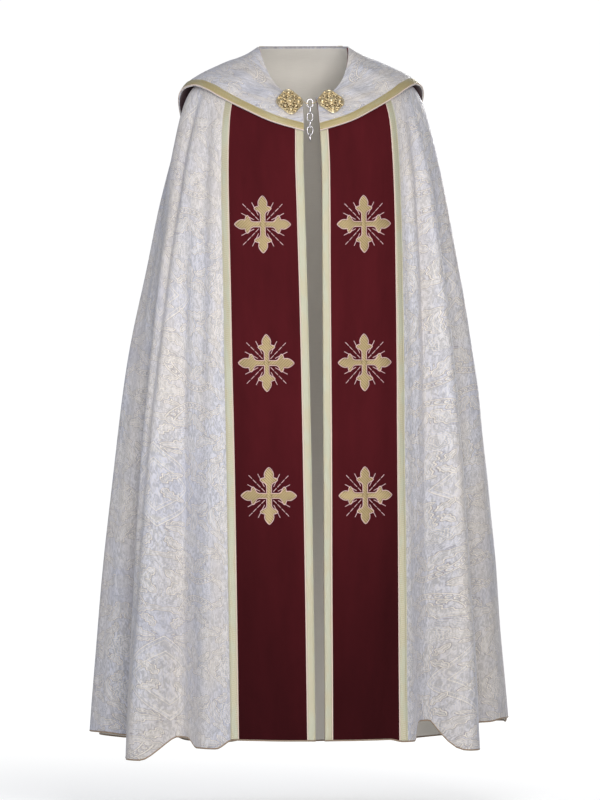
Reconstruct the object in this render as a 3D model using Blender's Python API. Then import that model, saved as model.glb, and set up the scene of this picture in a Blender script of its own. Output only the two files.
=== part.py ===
"""A cope: the long open mantle worn over the shoulders, with its hood, orphreys and chest clasp.

Units are metres and +Z is up. The wearer faces -Y, and +X is the viewer's right. The origin is on
the centre plane at the base of the wearer's neck, where the mantle is carried. Every cloth is a wall
over one worked-out surface, and what is sewn on a cloth is a wall over the same points, moved out.
"""
from collections import namedtuple
from math import cos, pi, sin, sqrt

import bmesh
import bpy
from mathutils import Matrix, Vector

# Cloth thicknesses and the gap kept between pieces that touch
GAP = 0.0003
MANTLE_WALL = 0.0022
HOOD_WALL = 0.0024
TRIM_WALL = 0.0012
CROSS_WALL = 0.0010
CROSS_LIFT = 0.0004

# Widths of the sewn bands
VELVET_WIDTH = 0.145
GALLOON_WIDTH = 0.018
ORPHREY_WIDTH = VELVET_WIDTH + 2 * GALLOON_WIDTH
PANEL_HALF_WIDTH = 0.0785
PANEL_GALLOON_WIDTH = 0.017
HOOD_GALLOON_WIDTH = 0.0165

# Hem binding: depth below the cloth, and how much it stands proud on both sides
BINDING_DEPTH = 0.0035
BINDING_PROUD = 0.0004
BINDING_GAP = 0.0006

# The worn form, from the neckline (down 0) to the hem (down 1). half_width, front and back are the
# distances of the cloth from the centre, and side is how far back its widest place lies; z_front,
# z_side and z_back are its heights there; square is the power of the rounded outline; crest softens
# the ridge over the shoulder; opening is the width of the gap between the front edges.
Section = namedtuple(
    "Section", "down half_width front side back z_front z_side z_back square crest opening")
SECTIONS = (
    Section(0.00, 0.093, 0.094, 0.000, 0.062, -0.088, 0.016, 0.014, 2.60, 0.40, 0.030),
    Section(0.06, 0.130, 0.114, 0.000, 0.094, -0.101, -0.010, -0.018, 2.45, 0.48, 0.032),
    Section(0.12, 0.170, 0.130, 0.000, 0.120, -0.119, -0.028, -0.055, 2.35, 0.52, 0.033),
    Section(0.18, 0.211, 0.142, 0.001, 0.140, -0.143, -0.050, -0.094, 2.30, 0.55, 0.034),
    Section(0.24, 0.239, 0.152, 0.004, 0.154, -0.173, -0.078, -0.139, 2.25, 0.60, 0.036),
    Section(0.31, 0.258, 0.163, 0.009, 0.167, -0.225, -0.142, -0.200, 2.20, 0.65, 0.038),
    Section(0.40, 0.284, 0.180, 0.018, 0.184, -0.320, -0.255, -0.300, 2.20, 0.70, 0.036),
    Section(0.52, 0.316, 0.202, 0.031, 0.207, -0.480, -0.430, -0.465, 2.20, 0.75, 0.032),
    Section(0.66, 0.353, 0.229, 0.048, 0.236, -0.700, -0.670, -0.700, 2.15, 0.80, 0.028),
    Section(0.82, 0.390, 0.262, 0.068, 0.274, -1.030, -1.010, -1.045, 2.10, 0.90, 0.023),
    Section(1.00, 0.423, 0.296, 0.090, 0.320, -1.436, -1.425, -1.470, 2.10, 1.00, 0.019),
)

# Flutes of the mantle. place runs from -1 at the left orphrey over 0 at the centre back to +1 at the
# right orphrey; spread is the half-width in the same measure; depth is how far the flute stands out
# (or in) at the hem; starts is where it begins on the way down; drop lowers its hem.
Flute = namedtuple("Flute", "place spread depth starts drop")
FLUTES = (
    Flute(-0.945, 0.052, 0.012, 0.45, 0.020),
    Flute(-0.875, 0.050, -0.036, 0.40, 0.002),
    Flute(-0.788, 0.058, 0.058, 0.22, 0.051),
    Flute(-0.705, 0.048, -0.038, 0.25, 0.008),
    Flute(-0.610, 0.080, 0.036, 0.20, 0.006),
    Flute(-0.510, 0.070, -0.030, 0.35, 0.006),
    Flute(-0.400, 0.075, 0.034, 0.40, 0.016),
    Flute(-0.285, 0.070, -0.026, 0.48, 0.000),
    Flute(-0.170, 0.080, 0.030, 0.50, 0.010),
    Flute(-0.050, 0.075, -0.020, 0.56, 0.000),
    Flute(0.075, 0.080, 0.026, 0.52, 0.008),
    Flute(0.195, 0.070, -0.028, 0.50, 0.004),
    Flute(0.310, 0.080, 0.032, 0.42, 0.014),
    Flute(0.425, 0.070, -0.028, 0.38, 0.000),
    Flute(0.530, 0.075, 0.022, 0.35, -0.004),
    Flute(0.655, 0.082, 0.024, 0.20, -0.020),
    Flute(0.762, 0.050, -0.032, 0.28, -0.012),
    Flute(0.846, 0.052, 0.046, 0.22, 0.031),
    Flute(0.930, 0.044, -0.038, 0.40, -0.032),
    Flute(0.990, 0.045, 0.008, 0.45, 0.006),
)
FLUTE_REACH = 1.5        # how many times its spread a flute is felt
FLUTE_FULL = 1.08        # where on the way down its depth would be full
DROP_STARTS = 0.55       # where on the way down its hem drop begins
DROP_LEVEL = 0.45        # within how many times its spread that drop is full
DROP_REACH = 1.15        # and how far it is felt, in the same measure
FLUTE_FADE = 0.10        # how far a flute reaches into the stiff orphrey, as a length

# The hood's edge: its height at a share of the way from the centre back (0) to the front edge (1)
HoodEdge = namedtuple("HoodEdge", "share height")
HOOD_EDGE = (
    HoodEdge(0.000, -0.488),
    HoodEdge(0.125, -0.392),
    HoodEdge(0.225, -0.310),
    HoodEdge(0.320, -0.222),
    HoodEdge(0.410, -0.136),
    HoodEdge(0.480, -0.086),
    HoodEdge(0.545, -0.071),
    HoodEdge(0.600, -0.075),
    HoodEdge(0.660, -0.087),
    HoodEdge(0.770, -0.111),
    HoodEdge(0.880, -0.135),
    HoodEdge(1.000, -0.1545),
)
HOOD_LIFT_NECK = 0.0032      # the hood's inner face above the mantle's, at the neckline
HOOD_LIFT_EDGE = 0.0066      # and at its edge
HOOD_LIFT_FULL = 0.2         # the share of the hood's fall over which it rises to that
WING_FLARE = 0.009           # how far the stiff edge stands off over the arms
WING_SHARE = 0.50
WING_SPREAD = 0.24

# Steps over which the cloth's slopes are measured: lengths round a section, and shares of the fall
REACH_STEP = 0.004
NORMAL_REACH_STEP = 0.0025
NORMAL_DOWN_STEP = 0.004
EDGE_MARGIN = 0.0005         # how far from a front edge they stay
INSET_DOWN_STEP = 0.01

# How finely places on the cloth are searched for: halvings, and rounds and step of the slope method
SEARCH_STEPS = 30
EDGE_ROUNDS = 14
FIND_ROUNDS = 12
FIND_STEP = 0.01             # in columns or rows

# Rows and columns of the cloths
MANTLE_ROWS = (0.0, 0.05, 0.10, 0.15, 0.20, 0.255, 0.32, 0.41, 0.52, 0.64, 0.76, 0.88, 0.95, 1.0)
GALLOON_FIRST_ROW = 2
VELVET_COLUMNS = 6
FLUTED_COLUMNS = 30          # on each half of the mantle
SEAM_COLUMN = 14             # how many of them lie in the left or right mantle panel
HOOD_ROWS = 9                # down to the hood's galloon
HOOD_ROW_CROWDING = 1.35     # brings the hood's rows closer together near the neck
PANEL_COLUMNS = 4            # in each half of the hood's panel
HOOD_FREE_COLUMNS = 15       # between the hood's panel and its front end, on each side

# Crosses, as an arm: how far along it each point is, and how far from its middle line
ArmPoint = namedtuple("ArmPoint", "along half")
CROSS_ARM = (
    ArmPoint(0.0058, 0.0058),
    ArmPoint(0.0250, 0.0058),
    ArmPoint(0.0315, 0.0165),
    ArmPoint(0.0362, 0.0200),
    ArmPoint(0.0395, 0.0125),
    ArmPoint(0.0425, 0.0090),
    ArmPoint(0.0490, 0.0112),
    ArmPoint(0.0580, 0.0065),
    ArmPoint(0.0655, 0.0000),
)
FRONT_CROSS_HEIGHTS = (-0.349, -0.641, -0.921)
FRONT_CROSS_SCALE = (0.88, 0.92)     # the front crosses' width and height against the one on the hood
BACK_CROSS_HEIGHT = -0.263

# The clasp: two lobed plates, each with a boss, joined by an eye, a hook and a link
CLASP_X = 0.0440
CLASP_HEIGHT = -0.0940
CLASP_RADIUS = 0.0270
CLASP_LOBE = 0.085
CLASP_TALL = 1.22            # the plates' height over their width
CLASP_SIDES = 40
CLASP_PLATE = 0.0022
CLASP_BEVEL = 0.0030
CLASP_RISE = 0.0008
CLASP_SHANK = 0.0020         # wire of the eye and the hook
CLASP_RING_RADIUS = 0.0031
CLASP_RING_SWEEP = 1.75 * pi
CLASP_RING_POINTS = 11
CLASP_RING_OFFSET = 0.0008   # the rings' middle beyond the link's wire
CLASP_SEAT = 0.0008          # how far the rigid plate stands off the curved hood
SEAT_COLUMN = 2.0            # a first guess of its place there, in columns from the front edge
SEAT_ROW = 1.0               # and in rows from the neckline
CLASP_BOSS_RADIUS = 0.0085
CLASP_BOSS_HEIGHT = 0.0060
CLASP_BOSS_STEPS = 5

# The chain
LINK_WIRE = 0.0022
LINK_INNER_LENGTH = 0.0148
LINK_WIDTH = 0.0140
LINK_COUNT = 6
LINK_END_POINTS = 7
CHAIN_TOP = -0.0850

# The tassel at the point of the hood
TASSEL_CORD = 0.0025
TASSEL_DROP = 0.0220
TASSEL_SOCKET = 0.0100
TASSEL_HEAD_LENGTH = 0.0280
TASSEL_SKIRT_LENGTH = 0.1200
TASSEL_SKIRT_FLATNESS = 0.50
TASSEL_SKIRT_FLAT = 0.625    # the share of the skirt's fall over which it grows flat
TASSEL_OFF_CLOTH = 0.0162    # the tassel's axis in front of the mantle's inner face

CORD_TOP = 0.2               # how far its cord starts below the hood, in cord diameters
CORD_STEPS = 6               # from the hood to the head
SOCKET_STEPS = 3             # and inside the head
# The head, below the cord's socket, and the skirt: each radius and how far below its top it lies
TurnPoint = namedtuple("TurnPoint", "radius below")
TASSEL_HEAD = (
    TurnPoint(0.0045, 0.000),
    TurnPoint(0.0078, 0.004),
    TurnPoint(0.0095, 0.010),
    TurnPoint(0.0089, 0.021),
    TurnPoint(0.0082, 0.028),
)
TASSEL_SKIRT = (
    TurnPoint(0.0078, 0.000),
    TurnPoint(0.0125, 0.018),
    TurnPoint(0.0185, 0.048),
    TurnPoint(0.0225, 0.080),
    TurnPoint(0.0250, 0.120),
)

# The diagonals of the two halves' cells, so that the right half mirrors the left
DIAGONALS = ("ALTERNATE", "FIXED")

PART_NAME = "cope"


# ---------------------------------------------------------------- scene helpers

def empty_the_scene():
    for thing in list(bpy.data.objects):
        bpy.data.objects.remove(thing, do_unlink=True)
    collection = bpy.data.collections.new(PART_NAME)
    bpy.context.scene.collection.children.link(collection)
    return collection


def finish_of(name, colour, roughness, metallic=0.0):
    """A Principled material in one colour."""
    material = bpy.data.materials.new(name)
    material.use_nodes = True
    shader = material.node_tree.nodes["Principled BSDF"]
    shader.inputs["Base Color"].default_value = (*colour, 1.0)
    shader.inputs["Roughness"].default_value = roughness
    shader.inputs["Metallic"].default_value = metallic
    return material


def add_object(collection, name, data, finish):
    thing = bpy.data.objects.new(name, data)
    data.materials.append(finish_of(name, *FINISHES[finish]))
    collection.objects.link(thing)
    return thing


def mesh_object(collection, name, work, finish):
    """Turn a closed bmesh into an object with its faces pointing out."""
    bmesh.ops.recalc_face_normals(work, faces=work.faces[:])
    mesh = bpy.data.meshes.new(name)
    work.to_mesh(mesh)
    work.free()
    return add_object(collection, name, mesh, finish)


FINISHES = {
    "brocade": ((0.69, 0.68, 0.71), 0.55),
    "velvet": ((0.075, 0.010, 0.014), 0.90),
    "galloon": ((0.62, 0.58, 0.40), 0.45),
    "binding": ((0.55, 0.45, 0.33), 0.60),
    "gold_thread": ((0.52, 0.36, 0.15), 0.40),
    "gilt_metal": ((0.60, 0.42, 0.16), 0.35, 1.0),
    "silvered_metal": ((0.62, 0.60, 0.62), 0.30, 1.0),
}


# ---------------------------------------------------------------- the worn surface

def smooth(value):
    value = min(max(value, 0.0), 1.0)
    return value * value * (3 - 2 * value)


def curve_through(table, key, field, place):
    """A smooth curve through one column of a table, read at a place of its key column."""
    last = len(table) - 1
    index = 0
    while index < last - 1 and place > getattr(table[index + 1], key):
        index += 1
    left, right = table[index], table[index + 1]
    span = getattr(right, key) - getattr(left, key)
    part = (place - getattr(left, key)) / span

    def slope(middle):
        before, after = table[max(middle - 1, 0)], table[min(middle + 1, last)]
        return (getattr(after, field) - getattr(before, field)) / (getattr(after, key) - getattr(before, key))

    start, end = getattr(left, field), getattr(right, field)
    bend_in, bend_out = slope(index) * span, slope(index + 1) * span
    return (start * (2 * part**3 - 3 * part**2 + 1) + end * (3 * part**2 - 2 * part**3)
            + bend_in * (part**3 - 2 * part**2 + part) + bend_out * (part**3 - part**2))


def section_at(down):
    return Section(down, *(curve_through(SECTIONS, "down", field, down) for field in Section._fields[1:]))


RING_STEPS = 180
ring_cache = {}


def ring(down):
    """Half a section, right side, from the centre back to the front edge, with lengths along it."""
    key = round(down, 6)
    if key in ring_cache:
        return ring_cache[key]
    form = section_at(down)
    power = 2 / form.square
    stop = pi - (form.opening / 2 / form.half_width) ** (1 / power)
    points = []
    for step in range(RING_STEPS + 1):
        angle = stop * step / RING_STEPS
        across, along = sin(angle) ** power, abs(cos(angle)) ** power
        end, height = (form.back, form.z_back) if angle < pi / 2 else (-form.front, form.z_front)
        ridge = (sqrt(along**2 + form.crest**2) - form.crest) / (sqrt(1 + form.crest**2) - form.crest)
        points.append(Vector((form.half_width * across, form.side + (end - form.side) * along,
                              form.z_side + (height - form.z_side) * ridge)))
    lengths = [0.0]
    for before, after in zip(points, points[1:]):
        lengths.append(lengths[-1] + (after - before).length)
    ring_cache[key] = points, lengths
    return ring_cache[key]


def half_length(down):
    """Length of a section from the centre back to the front edge."""
    return ring(down)[1][-1]


def plain_point(reach, down):
    """The unfluted cloth at a distance from the centre back, negative on the left."""
    points, lengths = ring(down)
    distance = min(abs(reach), lengths[-1])
    low, high = 0, len(lengths) - 1
    while high - low > 1:
        middle = (low + high) // 2
        if lengths[middle] <= distance:
            low = middle
        else:
            high = middle
    part = (distance - lengths[low]) / (lengths[high] - lengths[low])
    point = points[low].lerp(points[high], part)
    return Vector((point.x if reach >= 0 else -point.x, point.y, point.z))


def flute_at(reach, down):
    """How far the flutes move the cloth out, and down, at a place."""
    fluted = half_length(down) - ORPHREY_WIDTH
    place = reach / fluted
    into_band = max(abs(reach) - fluted, 0.0)
    out, lower = 0.0, 0.0
    for flute in FLUTES:
        offset = abs(place - flute.place) / flute.spread
        if offset < FLUTE_REACH:
            swell = cos(offset / FLUTE_REACH * pi / 2) ** 2
            growth = smooth((down - flute.starts) / (FLUTE_FULL - flute.starts))
            out += flute.depth * swell * growth
            level = 1 - smooth((offset - DROP_LEVEL) / (DROP_REACH - DROP_LEVEL))
            lower += flute.drop * level * smooth((down - DROP_STARTS) / (1 - DROP_STARTS)) ** 2
    calm = 1 - smooth(into_band / FLUTE_FADE)
    return out * calm, lower * calm


def cloth_point(reach, down, fluted=True):
    """The mantle's inner face at a distance from the centre back."""
    point = plain_point(reach, down)
    if not fluted:
        return point
    along = plain_point(reach + REACH_STEP, down) - plain_point(reach - REACH_STEP, down)
    outward = Vector((-along.y, along.x, 0.0)).normalized()
    out, lower = flute_at(reach, down)
    return point + outward * out - Vector((0, 0, lower))


def cloth_normal(reach, down, fluted=True):
    limit = half_length(down) - EDGE_MARGIN
    reach = min(max(reach, -limit), limit)
    above, below = max(down - NORMAL_DOWN_STEP, 0.0), min(down + NORMAL_DOWN_STEP, 1.0)
    left, right = max(reach - NORMAL_REACH_STEP, -limit), min(reach + NORMAL_REACH_STEP, limit)
    along = cloth_point(right, down, fluted) - cloth_point(left, down, fluted)
    downward = cloth_point(reach, below, fluted) - cloth_point(reach, above, fluted)
    return along.cross(downward).normalized()


def down_at_height(share, height, low=0.0, high=1.0):
    """How far down the plain cloth has a height, at a share of the way from centre back to front."""
    for _ in range(SEARCH_STEPS):
        middle = (low + high) / 2
        if plain_point(share * half_length(middle), middle).z > height:
            low = middle
        else:
            high = middle
    return (low + high) / 2


# ---------------------------------------------------------------- lattices of cloth

class Cloth:
    """Points and outward normals of a cloth, by column and row."""

    def __init__(self, points, normals):
        self.points, self.normals = points, normals
        self.last_column, self.last_row = len(points) - 1, len(points[0]) - 1

    def at(self, column, row, lift=0.0):
        """The cloth between its columns and rows, moved out by a lift."""
        left, top = min(int(column), self.last_column - 1), min(int(row), self.last_row - 1)
        across, downward = column - left, row - top

        def read(grid):
            upper = grid[left][top].lerp(grid[left + 1][top], across)
            lower = grid[left][top + 1].lerp(grid[left + 1][top + 1], across)
            return upper.lerp(lower, downward)

        return read(self.points) + read(self.normals).normalized() * lift

    def row_at_height(self, column, height):
        """The row where one column has a height."""
        low, high = 0.0, float(self.last_row)
        for _ in range(SEARCH_STEPS):
            middle = (low + high) / 2
            if self.at(column, middle).z > height:
                low = middle
            else:
                high = middle
        return (low + high) / 2

    def find(self, x, z, column, row):
        """The column and row of a place seen from the front or back, from a first guess."""
        step = FIND_STEP
        for _ in range(FIND_ROUNDS):
            here = self.at(column, row)
            by_column = (self.at(column + step, row) - here) / step
            by_row = (self.at(column, row + step) - here) / step
            miss_x, miss_z = x - here.x, z - here.z
            scale = by_column.x * by_row.z - by_column.z * by_row.x
            column += (miss_x * by_row.z - miss_z * by_row.x) / scale
            row += (by_column.x * miss_z - by_column.z * miss_x) / scale
        return column, row


def mantle_reaches(down):
    """The mantle's columns, from the left front edge round the back to the right front edge."""
    full = half_length(down)
    fluted = full - ORPHREY_WIDTH
    half = [fluted * step / FLUTED_COLUMNS for step in range(FLUTED_COLUMNS + 1)]
    half += [fluted + GALLOON_WIDTH + VELVET_WIDTH * step / VELVET_COLUMNS
             for step in range(VELVET_COLUMNS + 1)]
    half += [full]
    return [-reach for reach in reversed(half[1:])] + half


def make_mantle_cloth():
    reaches = [mantle_reaches(down) for down in MANTLE_ROWS]
    columns = range(len(reaches[0]))
    points = [[cloth_point(reaches[row][column], down) for row, down in enumerate(MANTLE_ROWS)]
              for column in columns]
    normals = [[cloth_normal(reaches[row][column], down) for row, down in enumerate(MANTLE_ROWS)]
               for column in columns]
    return Cloth(points, normals)


def hood_reach(column, down):
    """Distance from the centre back of a hood column, right side, at a section."""
    sewn = PANEL_HALF_WIDTH + PANEL_GALLOON_WIDTH
    if column <= PANEL_COLUMNS:
        return PANEL_HALF_WIDTH * column / PANEL_COLUMNS
    step = (column - PANEL_COLUMNS - 1) / HOOD_FREE_COLUMNS
    return sewn + (half_length(down) - sewn) * step


def hood_edge_down(column):
    """How far down the hood's edge lies, at a hood column of the right side."""
    down = 0.3
    for _ in range(EDGE_ROUNDS):
        share = hood_reach(column, down) / half_length(down)
        height = curve_through(HOOD_EDGE, "share", "height", share)
        down = 0.5 * down + 0.5 * down_at_height(share, height)
    return down


def hood_lift(share, fall):
    """The hood's inner face above the mantle's, at a share of the way round and down the hood."""
    offset = min(abs(share - WING_SHARE) / WING_SPREAD, 1.0)
    flare = WING_FLARE * cos(offset * pi / 2) ** 2 * fall**2
    return HOOD_LIFT_NECK + (HOOD_LIFT_EDGE - HOOD_LIFT_NECK) * smooth(fall / HOOD_LIFT_FULL) + flare


def make_hood_cloth():
    """The hood's lattice; its last row of cells lies under the hood's galloon."""
    half_columns = PANEL_COLUMNS + HOOD_FREE_COLUMNS + 2
    edges = [hood_edge_down(column) for column in range(half_columns)]

    def edge_point(column):
        return plain_point(hood_reach(column, edges[column]), edges[column])

    points, normals = [], []
    for column in range(half_columns):
        edge = edges[column]
        before, after = max(column - 1, 0), min(column + 1, half_columns - 1)
        if column == 0:
            before, after = 0, 1
        run = (edge_point(after) - edge_point(before)).normalized()
        above = edge - INSET_DOWN_STEP
        fall = plain_point(hood_reach(column, above), above) - edge_point(column)
        crossing = run.cross(fall.normalized()).length
        inset = HOOD_GALLOON_WIDTH / crossing / fall.length * INSET_DOWN_STEP
        falls = [(edge - inset) * (row / HOOD_ROWS) ** HOOD_ROW_CROWDING for row in range(HOOD_ROWS + 1)]
        falls.append(edge)
        points.append([])
        normals.append([])
        for down in falls:
            reach = hood_reach(column, down)
            normal = cloth_normal(reach, down, fluted=False)
            if column == 0:
                normal = Vector((0.0, normal.y, normal.z)).normalized()
            lift = hood_lift(reach / half_length(down), down / edge)
            points[-1].append(plain_point(reach, down) + normal * lift)
            normals[-1].append(normal)

    def mirrored(grid):
        return [[Vector((-item.x, item.y, item.z)) for item in line] for line in reversed(grid[1:])]

    return Cloth(mirrored(points) + points, mirrored(normals) + normals)


# ---------------------------------------------------------------- pieces

def thicken(work, partners):
    """Close an open sheet into a wall: a copy of each point moves to its partner."""
    kept = set(work.faces)
    grown = bmesh.ops.extrude_face_region(work, geom=work.faces[:], use_keep_orig=True)
    moved = {item for item in grown["geom"] if isinstance(item, bmesh.types.BMFace)}
    rim = [face for face in work.faces if face not in kept and face not in moved]
    for item in grown["geom"]:
        if isinstance(item, bmesh.types.BMVert):
            item.co = partners[tuple(item.co)]
    bmesh.ops.triangulate(work, faces=rim, quad_method="SHORT_EDGE")


def wall(collection, name, cloth, columns, rows, lifts, finish, trims=(0, 0, 0, 0)):
    """A closed wall over a block of a cloth, between two lifts.

    trims shortens its first column, last column, first row and last row.
    """
    first_column, last_column = columns
    first_row, last_row = rows
    wide, tall = last_column - first_column, last_row - first_row
    work = bmesh.new()
    bmesh.ops.create_grid(work, x_segments=wide, y_segments=tall, size=0.5)
    places = {}
    for vert in work.verts:
        places[vert] = (round((vert.co.x + 0.5) * wide), round((vert.co.y + 0.5) * tall))

    def trimmed(column, row, lift):
        point = cloth.at(first_column + column, first_row + row, lift)
        steps = ((column == 0, 1, 0), (column == wide, -1, 0), (row == 0, 0, 1), (row == tall, 0, -1))
        shift = Vector()
        for trim, (applies, across, downward) in zip(trims, steps):
            if applies and trim:
                beside = cloth.at(first_column + column + across, first_row + row + downward, lift)
                shift += (beside - point).normalized() * trim
        return point + shift

    middle = (cloth.last_column / 2 - first_column) / wide - 0.5
    sides = ([], [])
    for face in work.faces:
        sides[face.calc_center_median().x > middle].append(face)
    for faces, method in zip(sides, DIAGONALS):
        bmesh.ops.triangulate(work, faces=faces, quad_method=method)

    outer = {}
    for vert, (column, row) in places.items():
        vert.co = trimmed(column, row, lifts[0])
        outer[vert] = trimmed(column, row, lifts[1])
    thicken(work, {tuple(vert.co): outer[vert] for vert in work.verts})
    return mesh_object(collection, name, work, finish)


def turned(profile, steps=16):
    """A solid turned about Z from a profile of radius and height that starts and ends on the axis."""
    work = bmesh.new()
    verts = [work.verts.new((radius, 0, height)) for radius, height in profile]
    edges = [work.edges.new(pair) for pair in zip(verts, verts[1:])]
    bmesh.ops.spin(work, geom=verts + edges, axis=(0, 0, 1), cent=(0, 0, 0), steps=steps,
                   angle=2 * pi, use_merge=True)
    bmesh.ops.remove_doubles(work, verts=work.verts[:], dist=1e-6)
    return work


def edge_strip(collection, name, cloth, columns, lifts, finish, trims=(0, 0)):
    """A narrow binding that hangs just below the last row of a cloth."""
    first_column, last_column = columns
    wide = last_column - first_column
    work = bmesh.new()
    bmesh.ops.create_grid(work, x_segments=wide, y_segments=1, size=0.5)
    partners = {}
    for vert in work.verts:
        column = round((vert.co.x + 0.5) * wide)
        depth = BINDING_GAP if vert.co.y < 0 else BINDING_GAP + BINDING_DEPTH
        spots = []
        for lift in lifts:
            spot = cloth.at(first_column + column, cloth.last_row, lift) - Vector((0, 0, depth))
            for trim, applies, beside in ((trims[0], column == 0, 1), (trims[1], column == wide, -1)):
                if applies:
                    towards = cloth.at(first_column + column + beside, cloth.last_row, lift)
                    spot += (towards - spot).normalized() * trim
            spots.append(spot)
        vert.co = spots[0]
        partners[tuple(vert.co)] = spots[1]
    thicken(work, partners)
    return mesh_object(collection, name, work, finish)


def cross_outline():
    """The cross as a closed outline, arm by arm."""
    arm = [(point.along, -point.half) for point in CROSS_ARM]
    arm += [(point.along, point.half) for point in reversed(CROSS_ARM[1:-1])]
    outline = []
    for quarter in range(4):
        turn = Matrix.Rotation(quarter * pi / 2, 2)
        outline += [turn @ Vector(point) for point in arm]
    return outline


def cross(collection, name, cloth, column, z, lift, scale=(1, 1)):
    """An embroidered cross that follows the cloth it is sewn on."""
    guess = (column, cloth.row_at_height(column, z))
    x = cloth.at(*guess).x
    work = bmesh.new()
    facing = 1 if cloth.at(*guess).y < 0 else -1
    verts = []
    for point in cross_outline():
        column, row = cloth.find(x + facing * scale[0] * point.x, z + scale[1] * point.y, *guess)
        verts.append(work.verts.new((column, row, 0)))
    work.faces.new(verts)
    for axis, last in ((0, cloth.last_column), (1, cloth.last_row)):
        places = [vert.co[axis] for vert in work.verts]
        for line in range(1, last):
            if min(places) < line < max(places):
                spot, direction = Vector((0, 0, 0)), Vector((0, 0, 0))
                spot[axis], direction[axis] = line, 1
                geometry = work.verts[:] + work.edges[:] + work.faces[:]
                bmesh.ops.bisect_plane(work, geom=geometry, dist=1e-6, plane_co=spot, plane_no=direction)
    bmesh.ops.triangulate(work, faces=work.faces[:])
    partners = {}
    for vert in work.verts:
        column, row = vert.co.x, vert.co.y
        vert.co = cloth.at(column, row, lift)
        partners[tuple(vert.co)] = cloth.at(column, row, lift + CROSS_WALL)
    thicken(work, partners)
    return mesh_object(collection, name, work, "gold_thread")


def make_mantle(collection, cloth):
    """The brocade body in three panels, the velvet orphreys, their galloons and the bindings."""
    last = cloth.last_column
    band = VELVET_COLUMNS + 2
    seam = band + SEAM_COLUMN
    rows = (0, cloth.last_row)
    trimmed_rows = (GALLOON_FIRST_ROW, cloth.last_row)
    half = GAP / 2
    body = (0.0, MANTLE_WALL)
    trim = (MANTLE_WALL + GAP, MANTLE_WALL + GAP + TRIM_WALL)
    bound = (-BINDING_PROUD, MANTLE_WALL + BINDING_PROUD)
    seams = (half, half, 0, 0)
    wall(collection, "mantle_left", cloth, (band, seam), rows, body, "brocade", seams)
    wall(collection, "mantle_back", cloth, (seam, last - seam), rows, body, "brocade", seams)
    wall(collection, "mantle_right", cloth, (last - seam, last - band), rows, body, "brocade", seams)
    edge_strip(collection, "hem_binding_left", cloth, (band, seam), bound, "binding", (half, half))
    edge_strip(collection, "hem_binding_back", cloth, (seam, last - seam), bound, "binding", (half, half))
    edge_strip(collection, "hem_binding_right", cloth, (last - seam, last - band), bound, "binding",
               (half, half))
    sides = {
        "left": ((0, band), (0, 1), (band - 1, band)),
        "right": ((last - band, last), (last - 1, last), (last - band, last - band + 1)),
    }
    for side, (whole, inner, outer) in sides.items():
        wall(collection, f"orphrey_{side}", cloth, whole, rows, body, "velvet", seams)
        wall(collection, f"galloon_inner_{side}", cloth, inner, trimmed_rows, trim, "galloon")
        wall(collection, f"galloon_outer_{side}", cloth, outer, trimmed_rows, trim, "galloon")
        edge_strip(collection, f"orphrey_binding_{side}", cloth, whole, bound, "binding", (half, half))


def make_front_crosses(collection, cloth):
    """Three crosses down the middle of each orphrey."""
    band_middle = 1 + VELVET_COLUMNS / 2
    lift = MANTLE_WALL + CROSS_LIFT
    for side, column in (("left", band_middle), ("right", cloth.last_column - band_middle)):
        for number, height in enumerate(FRONT_CROSS_HEIGHTS, start=1):
            cross(collection, f"cross_{side}_{number}", cloth, column, height, lift, FRONT_CROSS_SCALE)


def make_hood(collection, cloth):
    """The brocade hood with its velvet panel, galloons and cross."""
    last, centre = cloth.last_column, cloth.last_column // 2
    edge = cloth.last_row
    half = GAP / 2
    trim = (HOOD_WALL + GAP, HOOD_WALL + GAP + TRIM_WALL)
    wall(collection, "hood", cloth, (0, last), (0, edge), (0.0, HOOD_WALL), "brocade")
    wall(collection, "hood_galloon_left", cloth, (0, centre), (edge - 1, edge), trim, "galloon",
         (0, half, half, 0))
    wall(collection, "hood_galloon_right", cloth, (centre, last), (edge - 1, edge), trim, "galloon",
         (half, 0, half, 0))
    left, right = centre - PANEL_COLUMNS, centre + PANEL_COLUMNS
    sewn = (half, half, 0, half)
    wall(collection, "hood_panel", cloth, (left, right), (0, edge - 1), trim, "velvet", sewn)
    wall(collection, "panel_galloon_left", cloth, (left - 1, left), (0, edge - 1), trim, "galloon", sewn)
    wall(collection, "panel_galloon_right", cloth, (right, right + 1), (0, edge - 1), trim, "galloon", sewn)
    cross(collection, "cross_back", cloth, centre, BACK_CROSS_HEIGHT, trim[1] + CROSS_LIFT)


def seat_on_hood(cloth, x, z):
    """The hood's outer face at a place seen from the front, and its outward direction."""
    near_edge = cloth.last_column - SEAT_COLUMN if x > 0 else SEAT_COLUMN
    column, row = cloth.find(x, z, near_edge, SEAT_ROW)
    point = cloth.at(column, row, HOOD_WALL)
    return point, (point - cloth.at(column, row)).normalized()


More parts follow.
